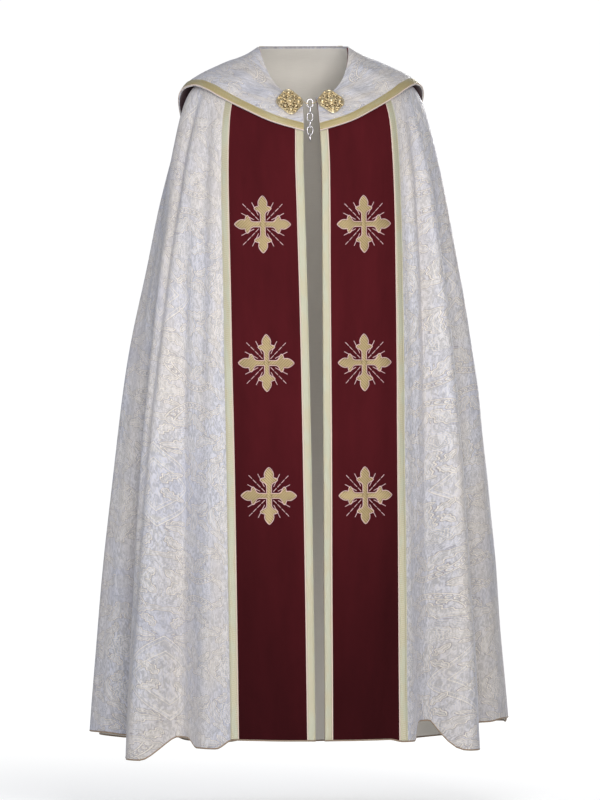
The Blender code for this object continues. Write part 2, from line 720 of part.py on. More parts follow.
def make_clasp(collection, cloth):
    """A lobed plate and a boss on each front end of the hood. Returns the plates' inner edges."""
    edges = []
    for side, x in (("left", -CLASP_X), ("right", CLASP_X)):
        point, outward = seat_on_hood(cloth, x, CLASP_HEIGHT)
        frame = Matrix.Translation(point + outward * (CLASP_SEAT + GAP))
        frame = frame @ outward.to_track_quat("Z", "Y").to_matrix().to_4x4()
        work = bmesh.new()
        bmesh.ops.create_circle(work, cap_ends=True, segments=CLASP_SIDES, radius=1.0)
        for vert in work.verts:
            angle = vert.co.to_2d().angle_signed(Vector((1, 0)))
            vert.co *= CLASP_RADIUS * (1 + CLASP_LOBE * cos(4 * angle))
            vert.co.y *= CLASP_TALL
        rise = bmesh.ops.extrude_face_region(work, geom=work.faces[:], use_keep_orig=True)
        top = [item for item in rise["geom"] if isinstance(item, bmesh.types.BMFace)]
        for vert in top[0].verts:
            vert.co.z += CLASP_PLATE
        bmesh.ops.inset_region(work, faces=top, thickness=CLASP_BEVEL, depth=CLASP_RISE)
        plate = mesh_object(collection, f"clasp_plate_{side}", work, "gilt_metal")
        plate.matrix_world = frame
        quarter = pi / 2 / CLASP_BOSS_STEPS
        dome = [(CLASP_BOSS_RADIUS * cos(quarter * step), CLASP_BOSS_HEIGHT * sin(quarter * step))
                for step in range(CLASP_BOSS_STEPS)]
        boss = mesh_object(collection, f"clasp_boss_{side}",
                           turned([(0, 0)] + dome + [(0, CLASP_BOSS_HEIGHT)]), "gilt_metal")
        boss.matrix_world = frame @ Matrix.Translation((0, 0, CLASP_PLATE + CLASP_RISE + GAP))
        reach = CLASP_RADIUS * (1 + CLASP_LOBE) + CLASP_SHANK / 2 + GAP
        ends = [frame @ Vector((sign * reach, 0, CLASP_PLATE / 2)) for sign in (-1, 1)]
        edges.append(min(ends, key=lambda end: abs(end.x)))
    return edges


def tube(collection, name, points, diameter, finish, closed=False):
    """A round wire or cord along a line of points."""
    curve = bpy.data.curves.new(name, "CURVE")
    curve.dimensions = "3D"
    curve.bevel_depth = diameter / 2
    curve.bevel_resolution = 2
    curve.use_fill_caps = True
    spline = curve.splines.new("POLY")
    spline.points.add(len(points) - 1)
    for target, point in zip(spline.points, points):
        target.co = (*point, 1.0)
    spline.use_cyclic_u = closed
    return add_object(collection, name, curve, finish)


def link_path():
    """The middle line of a link: two straight sides and two round ends, upright in the XZ plane."""
    end = (LINK_WIDTH - LINK_WIRE) / 2
    straight = (LINK_INNER_LENGTH + LINK_WIRE) / 2 - end
    points = []
    for centre, start in ((straight, 0.0), (-straight, pi)):
        for step in range(LINK_END_POINTS):
            angle = start + pi * step / (LINK_END_POINTS - 1)
            points.append(Vector((end * cos(angle), 0, centre + end * sin(angle))))
    return points


def make_chain(collection, plate_edges):
    """The link that the eye and the hook hold, and the tail that swings on its lower wire."""
    pitch = LINK_INNER_LENGTH - GAP
    half_outside = LINK_INNER_LENGTH / 2 + LINK_WIRE
    first = Vector((0, plate_edges[0].y, CHAIN_TOP - half_outside))
    hinge = bpy.data.objects.new("chain_hinge", None)
    hinge.location = first - Vector((0, 0, (LINK_INNER_LENGTH + LINK_WIRE) / 2))
    collection.objects.link(hinge)
    for number in range(LINK_COUNT):
        link = tube(collection, f"chain_link_{number + 1}", link_path(), LINK_WIRE, "silvered_metal", True)
        place = first - Vector((0, 0, pitch * number))
        turn = Matrix.Rotation(pi / 2 * (number % 2), 4, "Z")
        if number == 0:
            link.matrix_world = Matrix.Translation(place) @ turn
        else:
            link.parent = hinge
            link.matrix_local = Matrix.Translation(place - hinge.location) @ turn
    wire_x = (LINK_WIDTH - LINK_WIRE) / 2 + CLASP_RING_OFFSET
    for name, side, edge in zip(("clasp_eye_left", "clasp_hook_right"), (-1, 1), plate_edges):
        middle = Vector((side * wire_x, first.y, first.z))
        points = [edge]
        for step in range(CLASP_RING_POINTS):
            angle = CLASP_RING_SWEEP * step / (CLASP_RING_POINTS - 1)
            points.append(middle + Vector((side * cos(angle), sin(angle), 0)) * CLASP_RING_RADIUS)
        tube(collection, name, points, CLASP_SHANK, "gilt_metal")


def make_tassel(collection, hood, mantle):
    """The tassel that hangs from the point of the hood and lies on the mantle."""
    tip = hood.at(hood.last_column // 2, hood.last_row, HOOD_WALL / 2)
    back = mantle.last_column // 2

    def on_back(height):
        return mantle.at(back, mantle.row_at_height(back, height)) + Vector((0, TASSEL_OFF_CLOTH, 0))

    head_top = on_back(tip.z - TASSEL_DROP)
    lean = (on_back(head_top.z - TASSEL_HEAD_LENGTH - TASSEL_SKIRT_LENGTH) - head_top).normalized()
    socket = head_top + lean * TASSEL_SOCKET
    start = tip - Vector((0, 0, GAP + TASSEL_CORD * CORD_TOP))
    points = [start.lerp(head_top, step / CORD_STEPS) for step in range(CORD_STEPS)]
    points += [head_top.lerp(socket, step / SOCKET_STEPS) for step in range(SOCKET_STEPS + 1)]
    tube(collection, "tassel_cord", points, TASSEL_CORD, "gold_thread")
    frame = Matrix.Translation(head_top) @ (-lean).to_track_quat("Z", "Y").to_matrix().to_4x4()
    bore = TASSEL_CORD / 2 + GAP
    deep = TASSEL_SOCKET + GAP
    head = [(0, -deep), (bore, -deep), (bore, 0)] + [(point.radius, -point.below) for point in TASSEL_HEAD]
    skirt_top = -TASSEL_HEAD_LENGTH - GAP
    skirt = [(0, skirt_top)] + [(point.radius, skirt_top - point.below) for point in TASSEL_SKIRT]
    for ends in (head, skirt):
        ends.append((0, ends[-1][1]))
    for name, profile, flatness in (("tassel_head", head, 1.0), ("tassel_skirt", skirt, TASSEL_SKIRT_FLATNESS)):
        work = turned(profile)
        if flatness < 1:
            for vert in work.verts:
                fall = min(max((skirt_top - vert.co.z) / TASSEL_SKIRT_LENGTH, 0.0), 1.0)
                vert.co.y *= 1 + (flatness - 1) * smooth(fall / TASSEL_SKIRT_FLAT)
        piece = mesh_object(collection, name, work, "gold_thread")
        piece.matrix_world = frame


def main():
    collection = empty_the_scene()
    mantle = make_mantle_cloth()
    hood = make_hood_cloth()
    make_mantle(collection, mantle)
    make_front_crosses(collection, mantle)
    make_hood(collection, hood)
    make_chain(collection, make_clasp(collection, hood))
    make_tassel(collection, hood, mantle)


main()
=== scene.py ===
"""Looks of a cope as it is worn: brocade, velvet, braid, embroidery, clasp, chain and tassel.

Units are metres, +Z is up and the wearer faces -Y. Each cloth is a fine lattice over the same
worked-out form as its solid, with soft creases added, and every trim lies on its cloth's own points.
"""
from collections import namedtuple
from functools import reduce
from math import cos, pi, radians, sin

import bmesh
import bpy
import numpy as np
from mathutils import Matrix, Vector


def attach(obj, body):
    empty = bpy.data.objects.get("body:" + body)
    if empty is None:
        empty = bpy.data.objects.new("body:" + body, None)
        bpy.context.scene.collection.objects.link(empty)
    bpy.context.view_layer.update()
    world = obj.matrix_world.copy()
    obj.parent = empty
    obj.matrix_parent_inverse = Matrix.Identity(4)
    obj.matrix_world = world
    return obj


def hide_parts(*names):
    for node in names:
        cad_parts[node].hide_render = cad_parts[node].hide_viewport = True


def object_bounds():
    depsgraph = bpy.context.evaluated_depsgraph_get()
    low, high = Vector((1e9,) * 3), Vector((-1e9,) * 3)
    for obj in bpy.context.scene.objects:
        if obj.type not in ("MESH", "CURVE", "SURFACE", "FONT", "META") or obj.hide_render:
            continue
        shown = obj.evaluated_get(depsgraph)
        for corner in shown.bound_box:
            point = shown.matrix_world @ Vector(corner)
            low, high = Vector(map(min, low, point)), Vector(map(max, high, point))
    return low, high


bl_info = {
    "name": "Cope vestment",
    "version": (1, 0, 0),
    "blender": (4, 5, 0),
    "location": "3D View > Sidebar > Cope",
    "description": "Builds the cloth, trims, metalwork and stage of a cope around its packed model",
    "category": "Object",
}

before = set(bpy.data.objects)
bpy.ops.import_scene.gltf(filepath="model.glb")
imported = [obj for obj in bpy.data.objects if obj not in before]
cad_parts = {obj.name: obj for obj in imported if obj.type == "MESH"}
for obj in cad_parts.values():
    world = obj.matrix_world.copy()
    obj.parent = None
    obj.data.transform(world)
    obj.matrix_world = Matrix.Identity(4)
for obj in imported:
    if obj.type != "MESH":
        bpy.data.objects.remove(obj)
CAD_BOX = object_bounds()
BODY = "cope"
TAIL = "chain_tail"


def table(kind, *rows):
    return tuple(kind(*row) for row in rows)


# ---------------------------------------------------------------- sizes of the form

# Cloth thicknesses and the gap kept between pieces that touch
GAP = 0.0003
MANTLE_WALL = 0.0022
HOOD_WALL = 0.0024
PANEL_WALL = 0.00084
CROSS_LIFT = 0.0004

# Widths of the sewn bands
VELVET_WIDTH = 0.145
BRAID_WIDTH = 0.018
ORPHREY_WIDTH = VELVET_WIDTH + 2 * BRAID_WIDTH
PANEL_HALF_WIDTH = 0.0785
PANEL_BRAID_WIDTH = 0.017
HOOD_BRAID_WIDTH = 0.0165

# The worn form, from the neckline (down 0) to the hem (down 1): half_width, front and back are the
# distances of the cloth from the centre, side is how far back its widest place lies, and z_front,
# z_side and z_back are its heights there. square is the power of the rounded outline, crest softens
# the ridge over the shoulder, and opening is the gap between the front edges.
Section = namedtuple(
    "Section", "down half_width front side back z_front z_side z_back square crest opening")
SECTIONS = table(
    Section,
    (0.00, 0.093, 0.094, 0.000, 0.062, -0.088, 0.016, 0.014, 2.60, 0.40, 0.030),
    (0.06, 0.130, 0.114, 0.000, 0.094, -0.101, -0.010, -0.018, 2.45, 0.48, 0.032),
    (0.12, 0.170, 0.130, 0.000, 0.120, -0.119, -0.028, -0.055, 2.35, 0.52, 0.033),
    (0.18, 0.211, 0.142, 0.001, 0.140, -0.143, -0.050, -0.094, 2.30, 0.55, 0.034),
    (0.24, 0.239, 0.152, 0.004, 0.154, -0.173, -0.078, -0.139, 2.25, 0.60, 0.036),
    (0.31, 0.258, 0.163, 0.009, 0.167, -0.225, -0.142, -0.200, 2.20, 0.65, 0.038),
    (0.40, 0.284, 0.180, 0.018, 0.184, -0.320, -0.255, -0.300, 2.20, 0.70, 0.036),
    (0.52, 0.316, 0.202, 0.031, 0.207, -0.480, -0.430, -0.465, 2.20, 0.75, 0.032),
    (0.66, 0.353, 0.229, 0.048, 0.236, -0.700, -0.670, -0.700, 2.15, 0.80, 0.028),
    (0.82, 0.390, 0.262, 0.068, 0.274, -1.030, -1.010, -1.045, 2.10, 0.90, 0.023),
    (1.00, 0.423, 0.296, 0.090, 0.320, -1.436, -1.425, -1.470, 2.10, 1.00, 0.019),
)

# Flutes of the mantle. place runs from -1 at the left orphrey over 0 at the centre back to +1 at the
# right orphrey, and spread is in the same measure. depth is how far the flute stands out at the hem,
# starts is where it begins on the way down, and drop lowers its hem.
Flute = namedtuple("Flute", "place spread depth starts drop")
FLUTES = table(
    Flute,
    (-0.945, 0.052, 0.012, 0.45, 0.020),
    (-0.875, 0.050, -0.036, 0.40, 0.002),
    (-0.788, 0.058, 0.058, 0.22, 0.051),
    (-0.705, 0.048, -0.038, 0.25, 0.008),
    (-0.610, 0.080, 0.036, 0.20, 0.006),
    (-0.510, 0.070, -0.030, 0.35, 0.006),
    (-0.400, 0.075, 0.034, 0.40, 0.016),
    (-0.285, 0.070, -0.026, 0.48, 0.000),
    (-0.170, 0.080, 0.030, 0.50, 0.010),
    (-0.050, 0.075, -0.020, 0.56, 0.000),
    (0.075, 0.080, 0.026, 0.52, 0.008),
    (0.195, 0.070, -0.028, 0.50, 0.004),
    (0.310, 0.080, 0.032, 0.42, 0.014),
    (0.425, 0.070, -0.028, 0.38, 0.000),
    (0.530, 0.075, 0.022, 0.35, -0.004),
    (0.655, 0.082, 0.024, 0.20, -0.020),
    (0.762, 0.050, -0.032, 0.28, -0.012),
    (0.846, 0.052, 0.046, 0.22, 0.031),
    (0.930, 0.044, -0.038, 0.40, -0.032),
    (0.990, 0.045, 0.008, 0.45, 0.006),
)
FLUTE_REACH = 1.5        # how many times its spread a flute is felt
FLUTE_FULL = 1.08        # where on the way down its depth would be full
DROP_STARTS = 0.55       # where on the way down its hem drop begins
DROP_LEVEL = 0.45        # within how many times its spread that drop is full
DROP_REACH = 1.15        # and how far it is felt, in the same measure
FLUTE_FADE = 0.10        # how far a flute reaches into the stiff orphrey, as a length

# Soft creases of the mantle: place as for a flute, at the crease's middle; lean is how far the place
# moves from its start to its end; spread and depth are lengths; starts and ends are places down.
Crease = namedtuple("Crease", "place lean spread depth starts ends")
MANTLE_CREASES = table(
    Crease,
    (-0.965, 0.015, 0.016, 0.0035, 0.20, 0.70),
    (-0.925, -0.020, 0.018, -0.0045, 0.18, 0.85),
    (-0.885, -0.010, 0.020, 0.0045, 0.30, 1.25),
    (-0.847, 0.015, 0.018, -0.0065, 0.36, 1.30),
    (-0.825, 0.020, 0.022, 0.0065, 0.20, 1.35),
    (-0.790, 0.065, 0.012, -0.0080, 0.13, 1.20),
    (-0.705, 0.080, 0.024, 0.0075, 0.17, 0.85),
    (-0.640, 0.030, 0.018, -0.0065, 0.26, 1.15),
    (-0.560, 0.020, 0.022, -0.0055, 0.20, 0.85),
    (-0.455, 0.015, 0.024, 0.0070, 0.36, 1.30),
    (-0.345, -0.020, 0.022, -0.0060, 0.32, 0.95),
    (-0.230, 0.020, 0.024, 0.0065, 0.44, 1.30),
    (-0.110, -0.015, 0.022, -0.0060, 0.40, 1.10),
    (0.010, 0.015, 0.024, 0.0060, 0.46, 1.30),
    (0.135, 0.020, 0.022, -0.0060, 0.42, 1.20),
    (0.250, -0.020, 0.022, 0.0065, 0.38, 1.05),
    (0.370, 0.020, 0.024, -0.0055, 0.34, 1.30),
    (0.475, -0.015, 0.022, 0.0065, 0.28, 0.90),
    (0.590, 0.020, 0.022, -0.0060, 0.20, 0.95),
    (0.690, -0.025, 0.024, 0.0070, 0.18, 0.80),
    (0.745, -0.030, 0.016, -0.0050, 0.34, 1.25),
    (0.802, -0.040, 0.016, -0.0090, 0.14, 0.90),
    (0.862, -0.015, 0.018, 0.0105, 0.17, 1.35),
    (0.902, -0.015, 0.014, -0.0110, 0.20, 1.30),
    (0.938, 0.010, 0.018, 0.0045, 0.24, 0.95),
    (0.970, -0.010, 0.014, -0.0040, 0.20, 1.10),
)
# Soft waves of the stiff orphreys, with places past 1 counted on into the band
ORPHREY_CREASES = table(
    Crease,
    (-1.085, 0.030, 0.030, 0.0028, 0.25, 0.75),
    (-1.150, -0.030, 0.026, -0.0022, 0.45, 1.30),
    (-1.060, 0.010, 0.024, -0.0025, 0.62, 1.35),
    (-1.210, 0.020, 0.022, 0.0020, 0.30, 0.90),
    (1.075, -0.030, 0.028, 0.0028, 0.28, 0.80),
    (1.150, 0.030, 0.026, -0.0022, 0.40, 1.30),
    (1.060, 0.010, 0.024, 0.0025, 0.70, 1.35),
    (1.215, -0.020, 0.022, 0.0020, 0.25, 0.85),
)

# The hood's edge: its height at a share of the way from the centre back (0) to the front edge (1)
HoodEdge = namedtuple("HoodEdge", "share height")
HOOD_EDGE = table(
    HoodEdge,
    (0.000, -0.488), (0.125, -0.392), (0.225, -0.310), (0.320, -0.222), (0.410, -0.136),
    (0.480, -0.086), (0.545, -0.071), (0.600, -0.075), (0.660, -0.087), (0.770, -0.111),
    (0.880, -0.135), (1.000, -0.1545),
)
HOOD_LIFT_NECK = 0.0032      # the hood's inner face above the mantle's, at the neckline
HOOD_LIFT_EDGE = 0.0066      # and at its edge
WING_FLARE = 0.009           # how far the stiff edge stands off over the arms
WING_SHARE = 0.50
WING_SPREAD = 0.24

# Soft creases of the hood: share runs from -1 at the left front end to +1 at the right one, and fall
# from 0 at the neckline to 1 at the edge.
HoodCrease = namedtuple("HoodCrease", "share lean spread depth starts ends")
HOOD_CREASES = table(
    HoodCrease,
    (-0.93, 0.10, 0.030, 0.0022, -0.2, 0.95),
    (-0.80, 0.06, 0.034, 0.0030, -0.3, 0.90),
    (-0.64, -0.02, 0.040, 0.0034, -0.2, 1.00),
    (-0.45, -0.06, 0.040, 0.0030, 0.05, 1.20),
    (-0.27, 0.02, 0.034, 0.0020, 0.20, 1.10),
    (0.28, -0.02, 0.034, 0.0022, 0.15, 1.05),
    (0.44, 0.05, 0.040, 0.0032, 0.05, 1.20),
    (0.62, 0.03, 0.040, 0.0030, -0.2, 1.00),
    (0.79, -0.06, 0.034, 0.0032, -0.3, 0.92),
    (0.94, -0.08, 0.030, 0.0020, -0.2, 0.95),
)

# Columns and rows of the fine lattices
RINGS = 401                  # sections worked out once between the neckline and the hem
SPOTS = 601                  # and places on each
MANTLE_ROWS = 220
FLUTED_STEPS = 150           # columns from the centre back to an orphrey
SEAM_STEP = 80               # the side seam's column among them
BRAID_STEPS = 3
VELVET_STEPS = 24
BRAID_STARTS = 0.10          # how far down the orphreys' braids begin, under the hood
BRAID_ROWS = 200
HOOD_ROWS = 80               # down to the hood's braid
HOOD_BRAID_ROWS = 4
HOOD_ROW_CROWDING = 1.35     # brings the hood's rows closer together near the neck
PANEL_STEPS = 16             # in each half of the hood's panel
PANEL_BRAID_STEPS = 4
HOOD_FREE_STEPS = 90         # between the hood's panel and its front end, on each side

# Hem binding
BINDING_RADIUS = 0.0017

# Embroidered crosses, as an arm: how far along it each point is, and how far from its middle line
ArmPoint = namedtuple("ArmPoint", "along half")
CROSS_ARM = table(
    ArmPoint,
    (0.0058, 0.0058), (0.0235, 0.0058), (0.0280, 0.0082), (0.0308, 0.0128), (0.0332, 0.0182),
    (0.0362, 0.0205), (0.0392, 0.0190), (0.0408, 0.0145), (0.0422, 0.0096), (0.0458, 0.0106),
    (0.0500, 0.0109), (0.0550, 0.0093), (0.0600, 0.0060), (0.0634, 0.0030), (0.0655, 0.0000),
)
FRONT_CROSS_HEIGHTS = (-0.349, -0.641, -0.921)
FRONT_CROSS_SCALE = (0.88, 0.92)
BACK_CROSS_HEIGHT = -0.263
STITCH_PITCH = 0.0046        # from one couched cord to the next
STITCH_SHARE = 0.66          # how much of the pitch the cord fills
STITCH_STEPS = 4             # cuts across a cord, to round it
CORD_STEP = 0.0034           # from one cut to the next along a cord
STITCH_RELIEF = 0.0005
CROSS_CROWN = 0.0011         # how far the padding lifts the middle of an arm
CROSS_SHOULDER = 0.0035      # over what distance from the outline it rises
CROSS_BACKING = 0.0003
OUTLINE_RADIUS = 0.00075
OUTLINE_STEP = 0.0016
RAY_RADIUS = 0.00075
# Rays between the arms: direction from the arm's line, and where its dashes start and end
Ray = namedtuple("Ray", "angle starts ends dashes")
RAYS = table(
    Ray,
    (45.0, 0.0140, 0.0660, 4),
    (63.0, 0.0235, 0.0560, 2),
    (27.0, 0.0235, 0.0560, 2),
)
RAY_GAP = 0.0032
# How high a dash lies at shares of its length, in radii
RAY_PROFILE = ((0.0, 0.3), (0.25, 0.9), (0.5, 1.1), (0.75, 0.9), (1.0, 0.3))

# The clasp, the chain and the tassel
CLASP_X = 0.0440
CLASP_HEIGHT = -0.0940
CLASP_RADIUS = 0.0270
CLASP_LOBE = 0.085
CLASP_TALL = 1.22
CLASP_PLATE = 0.0022
CLASP_SHANK = 0.0020
CLASP_RING_RADIUS = 0.0031
CLASP_RING_SWEEP = 1.75 * pi
CLASP_RING_POINTS = 25
CLASP_RING_OFFSET = 0.0008
CLASP_SEAT = 0.0008
LINK_WIRE = 0.0022
LINK_INNER_LENGTH = 0.0148
LINK_WIDTH = 0.0140
LINK_COUNT = 6
LINK_END_POINTS = 19
CHAIN_TOP = -0.0850
CHAIN_DEPTH = -0.1191
TASSEL_CORD = 0.0025
TASSEL_DROP = 0.0220
TASSEL_CORE = 0.0750        # how far the cord runs down inside the skirt
TASSEL_HEAD_LENGTH = 0.0280
# The head's outline from its top to its foot: radius and height
TASSEL_PROFILE = ((0.0016, 0.0), (0.0040, -0.0006), (0.0066, -0.0030), (0.0084, -0.0070), (0.0093, -0.0120),
                  (0.0095, -0.0180), (0.0090, -0.0236), (0.0080, -TASSEL_HEAD_LENGTH))
TASSEL_WINDINGS = 54         # threads wound over the head
TASSEL_SLANT = 6.0           # and their turn round it, in radians for each metre down
TASSEL_THREADS = 420         # threads in the skirt
GOLDEN_TURN = 2.399963       # from one of them to the next, which spreads them evenly
TASSEL_SKIRT_LENGTH = 0.1200
TASSEL_SKIRT_HALF_WIDTH = 0.0250
TASSEL_SKIRT_FLATNESS = 0.50
TASSEL_OFF_CLOTH = 0.0162


# ---------------------------------------------------------------- settings

def colour_setting(name, words, *value):
    return bpy.props.FloatVectorProperty(name=name, description=words, subtype="COLOR", size=3, min=0.0,
                                         max=1.0, default=value)


def number_setting(name, words, value, low=0.0, high=10.0, **kind):
    return bpy.props.FloatProperty(name=name, description=words, default=value, min=low, max=high, **kind)


LENGTH = {"subtype": "DISTANCE", "unit": "LENGTH", "precision": 4}
SHARE = {"subtype": "FACTOR"}
ANGLE = {"subtype": "ANGLE", "unit": "ROTATION"}
POWER = {"subtype": "POWER", "unit": "POWER"}


class CopeClothSettings(bpy.types.PropertyGroup):
    """Colours and sizes of the brocade, its linings and the velvet."""
    ground: colour_setting("Ground", "Silvery ground of the brocade", 0.530, 0.530, 0.590)
    figure: colour_setting("Figure", "Cream threads that fill the woven figure", 0.585, 0.570, 0.580)
    outline: colour_setting("Outline", "Bright threads that outline the woven figure", 0.815, 0.755, 0.665)
    # The shade colour is painted shade: dark lines beside the figure's outlines that make it look raised.
    shade: colour_setting("Shade", "Darker threads beside the outline", 0.330, 0.285, 0.290)
    lining: colour_setting("Lining", "Satin lining inside the mantle", 0.860, 0.820, 0.760)
    hood_lining: colour_setting("Hood lining", "Satin lining under the hood", 0.075, 0.012, 0.022)
    velvet: colour_setting("Velvet", "Pile of the orphreys and of the hood's panel", 0.074, 0.0070, 0.0103)
    half_repeat: number_setting("Half repeat", "Width of the figure up to its mirror line", 0.151, **LENGTH)
    repeat: number_setting("Repeat", "Height of the woven figure", 0.406, **LENGTH)
    crease_share: number_setting("Creases", "How deep the soft creases are made", 1.25, high=2.0, **SHARE)


class CopeTrimSettings(bpy.types.PropertyGroup):
    """Colours of the braids, the binding, the embroidery and the tassel."""
    braid_gold: colour_setting("Braid gold", "Gold threads of the hood's braids", 0.430, 0.320, 0.120)
    pale_gold: colour_setting("Pale gold", "Pale gold threads of every braid", 0.490, 0.435, 0.255)
    braid_silver: colour_setting("Braid silver", "Silvery threads of the front braids", 0.590, 0.570, 0.470)
    piping: colour_setting("Piping", "Cream cord at the braids' inner edge", 0.820, 0.660, 0.560)
    binding: colour_setting("Binding", "Narrow binding on the hem", 0.330, 0.240, 0.165)
    gold_thread: colour_setting("Gold thread", "Couched cords of the crosses", 0.500, 0.385, 0.195)
    gap_thread: colour_setting("Gap thread", "Darker thread between the cords", 0.150, 0.090, 0.025)
    pale_thread: colour_setting("Pale thread", "Outline and rays of the crosses", 0.820, 0.560, 0.570)
    tassel: colour_setting("Tassel", "Silk threads of the tassel's skirt", 0.620, 0.420, 0.170)
    tassel_head: colour_setting("Tassel head", "Wound threads of the tassel's head", 0.480, 0.290, 0.080)


class CopeMetalSettings(bpy.types.PropertyGroup):
    """Colours of the clasp and the chain."""
    gilt: colour_setting("Gilt", "Gilded wire of the clasp", 0.960, 0.810, 0.520)
    # This colour darkens the rubbed places of the gilt, and on the rosette's back disc it is painted shade in
    # the gaps between the wires; hollow darkens patches of that painted shade further.
    patina: colour_setting("Patina", "Dark gilding behind the clasp's wires", 0.300, 0.190, 0.075)
    hollow: colour_setting("Hollow", "Darkest tarnish in the clasp's hollows", 0.120, 0.070, 0.030)
    silver: colour_setting("Silver", "Silvered wire of the chain", 0.880, 0.860, 0.920)


class CopeStageSettings(bpy.types.PropertyGroup):
    """The floor, the lights and the camera."""
    floor_drop: number_setting("Floor drop", "Depth of the floor below the hem", 0.120, **LENGTH)
    lens: number_setting("Lens", "Focal length of the camera", 1200.0, low=20.0, high=2000.0, unit="CAMERA")
    azimuth: number_setting("Azimuth", "The camera's turn round the wearer", radians(-7.0), low=-pi, **ANGLE)
    elevation: number_setting("Elevation", "The camera's height angle", radians(3.0), low=-pi, **ANGLE)
    fill: number_setting("Fill", "Share of the picture's height that the cope fills", 0.885, 0.1, 1.0,
                         **SHARE)
    key_power: number_setting("Key power", "Power of the warm key light", 56.0, high=2000.0, **POWER)
    fill_power: number_setting("Fill power", "Power of the cool fill light", 32.0, high=2000.0, **POWER)
    sky: number_setting("Sky", "Strength of the light from all around", 0.32, high=5.0)


# ---------------------------------------------------------------- the worn form

def smooth(value):
    value = np.clip(value, 0.0, 1.0)
    return value * value * (3 - 2 * value)


def curve_through(table, key, field, place):
    """A smooth curve through one column of a table, read at places of its key column."""
    keys = np.array([getattr(line, key) for line in table])
    values = np.array([getattr(line, field) for line in table])
    numbers = np.arange(len(table))
    before, after = np.maximum(numbers - 1, 0), np.minimum(numbers + 1, len(table) - 1)
    slopes = (values[after] - values[before]) / (keys[after] - keys[before])
    left = np.clip(np.searchsorted(keys, place, side="right") - 1, 0, len(table) - 2)
    span = keys[left + 1] - keys[left]
    part = (place - keys[left]) / span
    return (values[left] * (2 * part**3 - 3 * part**2 + 1)
            + values[left + 1] * (3 * part**2 - 2 * part**3)
            + slopes[left] * span * (part**3 - 2 * part**2 + part)
            + slopes[left + 1] * span * (part**3 - part**2))


def section_points(down):
    """Half a section, right side, from the centre back to the front edge."""
    form = Section(down, *(curve_through(SECTIONS, "down", field, down) for field in Section._fields[1:]))
    power = 2 / form.square
    stop = pi - (form.opening / 2 / form.half_width) ** (1 / power)
    angle = stop * np.arange(SPOTS) / (SPOTS - 1)
    across, along = np.sin(angle) ** power, np.abs(np.cos(angle)) ** power
    behind = angle < pi / 2
    end = np.where(behind, form.back, -form.front)
    height = np.where(behind, form.z_back, form.z_front)
    ridge = (np.sqrt(along**2 + form.crest**2) - form.crest) / (np.sqrt(1 + form.crest**2) - form.crest)
    return np.stack([form.half_width * across, form.side + (end - form.side) * along,
                     form.z_side + (height - form.z_side) * ridge], axis=-1)


class WornForm:
    """The plain, unfluted surface, worked out once on many sections."""

    def __init__(self):
        self.downs = np.linspace(0, 1, RINGS)
        self.table = np.zeros((RINGS, SPOTS, 3))
        self.lengths = np.zeros(RINGS)
        shares = np.linspace(0, 1, SPOTS)
        for number, down in enumerate(self.downs):
            points = section_points(down)
            run = np.concatenate([[0], np.cumsum(np.linalg.norm(np.diff(points, axis=0), axis=1))])
            self.lengths[number] = run[-1]
            for axis in range(3):
                self.table[number, :, axis] = np.interp(shares * run[-1], run, points[:, axis])

    def half_length(self, down):
        """Length of a section from the centre back to the front edge."""
        return np.interp(down, self.downs, self.lengths)

    def plain(self, reach, down):
        """Points at a distance from the centre back (negative on the left), at a way down."""
        share = np.clip(np.abs(reach) / self.half_length(down), 0, 1) * (SPOTS - 1)
        level = np.clip(down, 0, 1) * (RINGS - 1)
        spot, ring = np.minimum(share.astype(int), SPOTS - 2), np.minimum(level.astype(int), RINGS - 2)
        across, below = (share - spot)[..., None], (level - ring)[..., None]
        upper = self.table[ring, spot] * (1 - across) + self.table[ring, spot + 1] * across
        lower = self.table[ring + 1, spot] * (1 - across) + self.table[ring + 1, spot + 1] * across
        point = upper * (1 - below) + lower * below
        point[..., 0] *= np.where(reach < 0, -1, 1)
        return point

    def down_at_height(self, share, height):
        """How far down the plain surface has a height, at one share of the way to the front edge."""
        spot = share * (SPOTS - 1)
        first = min(int(spot), SPOTS - 2)
        heights = self.table[:, first, 2] * (1 - spot + first) + self.table[:, first + 1, 2] * (spot - first)
        return np.interp(-height, -heights, self.downs)


def flute_at(form, reach, down):
    """How far the flutes move the cloth out, and down."""
    fluted = form.half_length(down) - ORPHREY_WIDTH
    place = reach / fluted
    into_band = np.maximum(np.abs(reach) - fluted, 0)
    out, lower = np.zeros_like(reach), np.zeros_like(reach)
    for flute in FLUTES:
        offset = np.minimum(np.abs(place - flute.place) / flute.spread, FLUTE_REACH)
        swell = np.cos(offset / FLUTE_REACH * pi / 2) ** 2
        out += flute.depth * swell * smooth((down - flute.starts) / (FLUTE_FULL - flute.starts))
        level = 1 - smooth((offset - DROP_LEVEL) / (DROP_REACH - DROP_LEVEL))
        lower += flute.drop * level * smooth((down - DROP_STARTS) / (1 - DROP_STARTS)) ** 2
    calm = 1 - smooth(into_band / FLUTE_FADE)
    return out * calm, lower * calm


CREASE_END = 0.22            # the share of a crease's length over which it rises and dies away


def crease_at(creases, place, down, scale):
    """How far the soft creases move the cloth out. scale turns places into lengths."""
    out = np.zeros_like(place)
    for crease in creases:
        middle, lean, spread, depth, starts, ends = crease
        part = (down - starts) / (ends - starts)
        rise = smooth(part / CREASE_END) * smooth((1 - part) / CREASE_END)
        offset = (place - middle - lean * (np.clip(part, 0, 1) - 0.5)) * scale / spread
        out += depth * rise * np.exp(-offset**2)
    return out


def ripple_at(reach, height):
    """The slight unevenness of hanging cloth, as a length."""
    slow = np.sin(reach * 19 + 3 * np.sin(height * 2.1 + 0.4)) * np.sin(height * 6.3 + reach * 2.2)
    quick = np.sin(reach * 47 + 4 * np.sin(height * 3.7)) * np.sin(height * 11 - reach * 5 + 1.0)
    return 0.0016 * slow + 0.0008 * quick


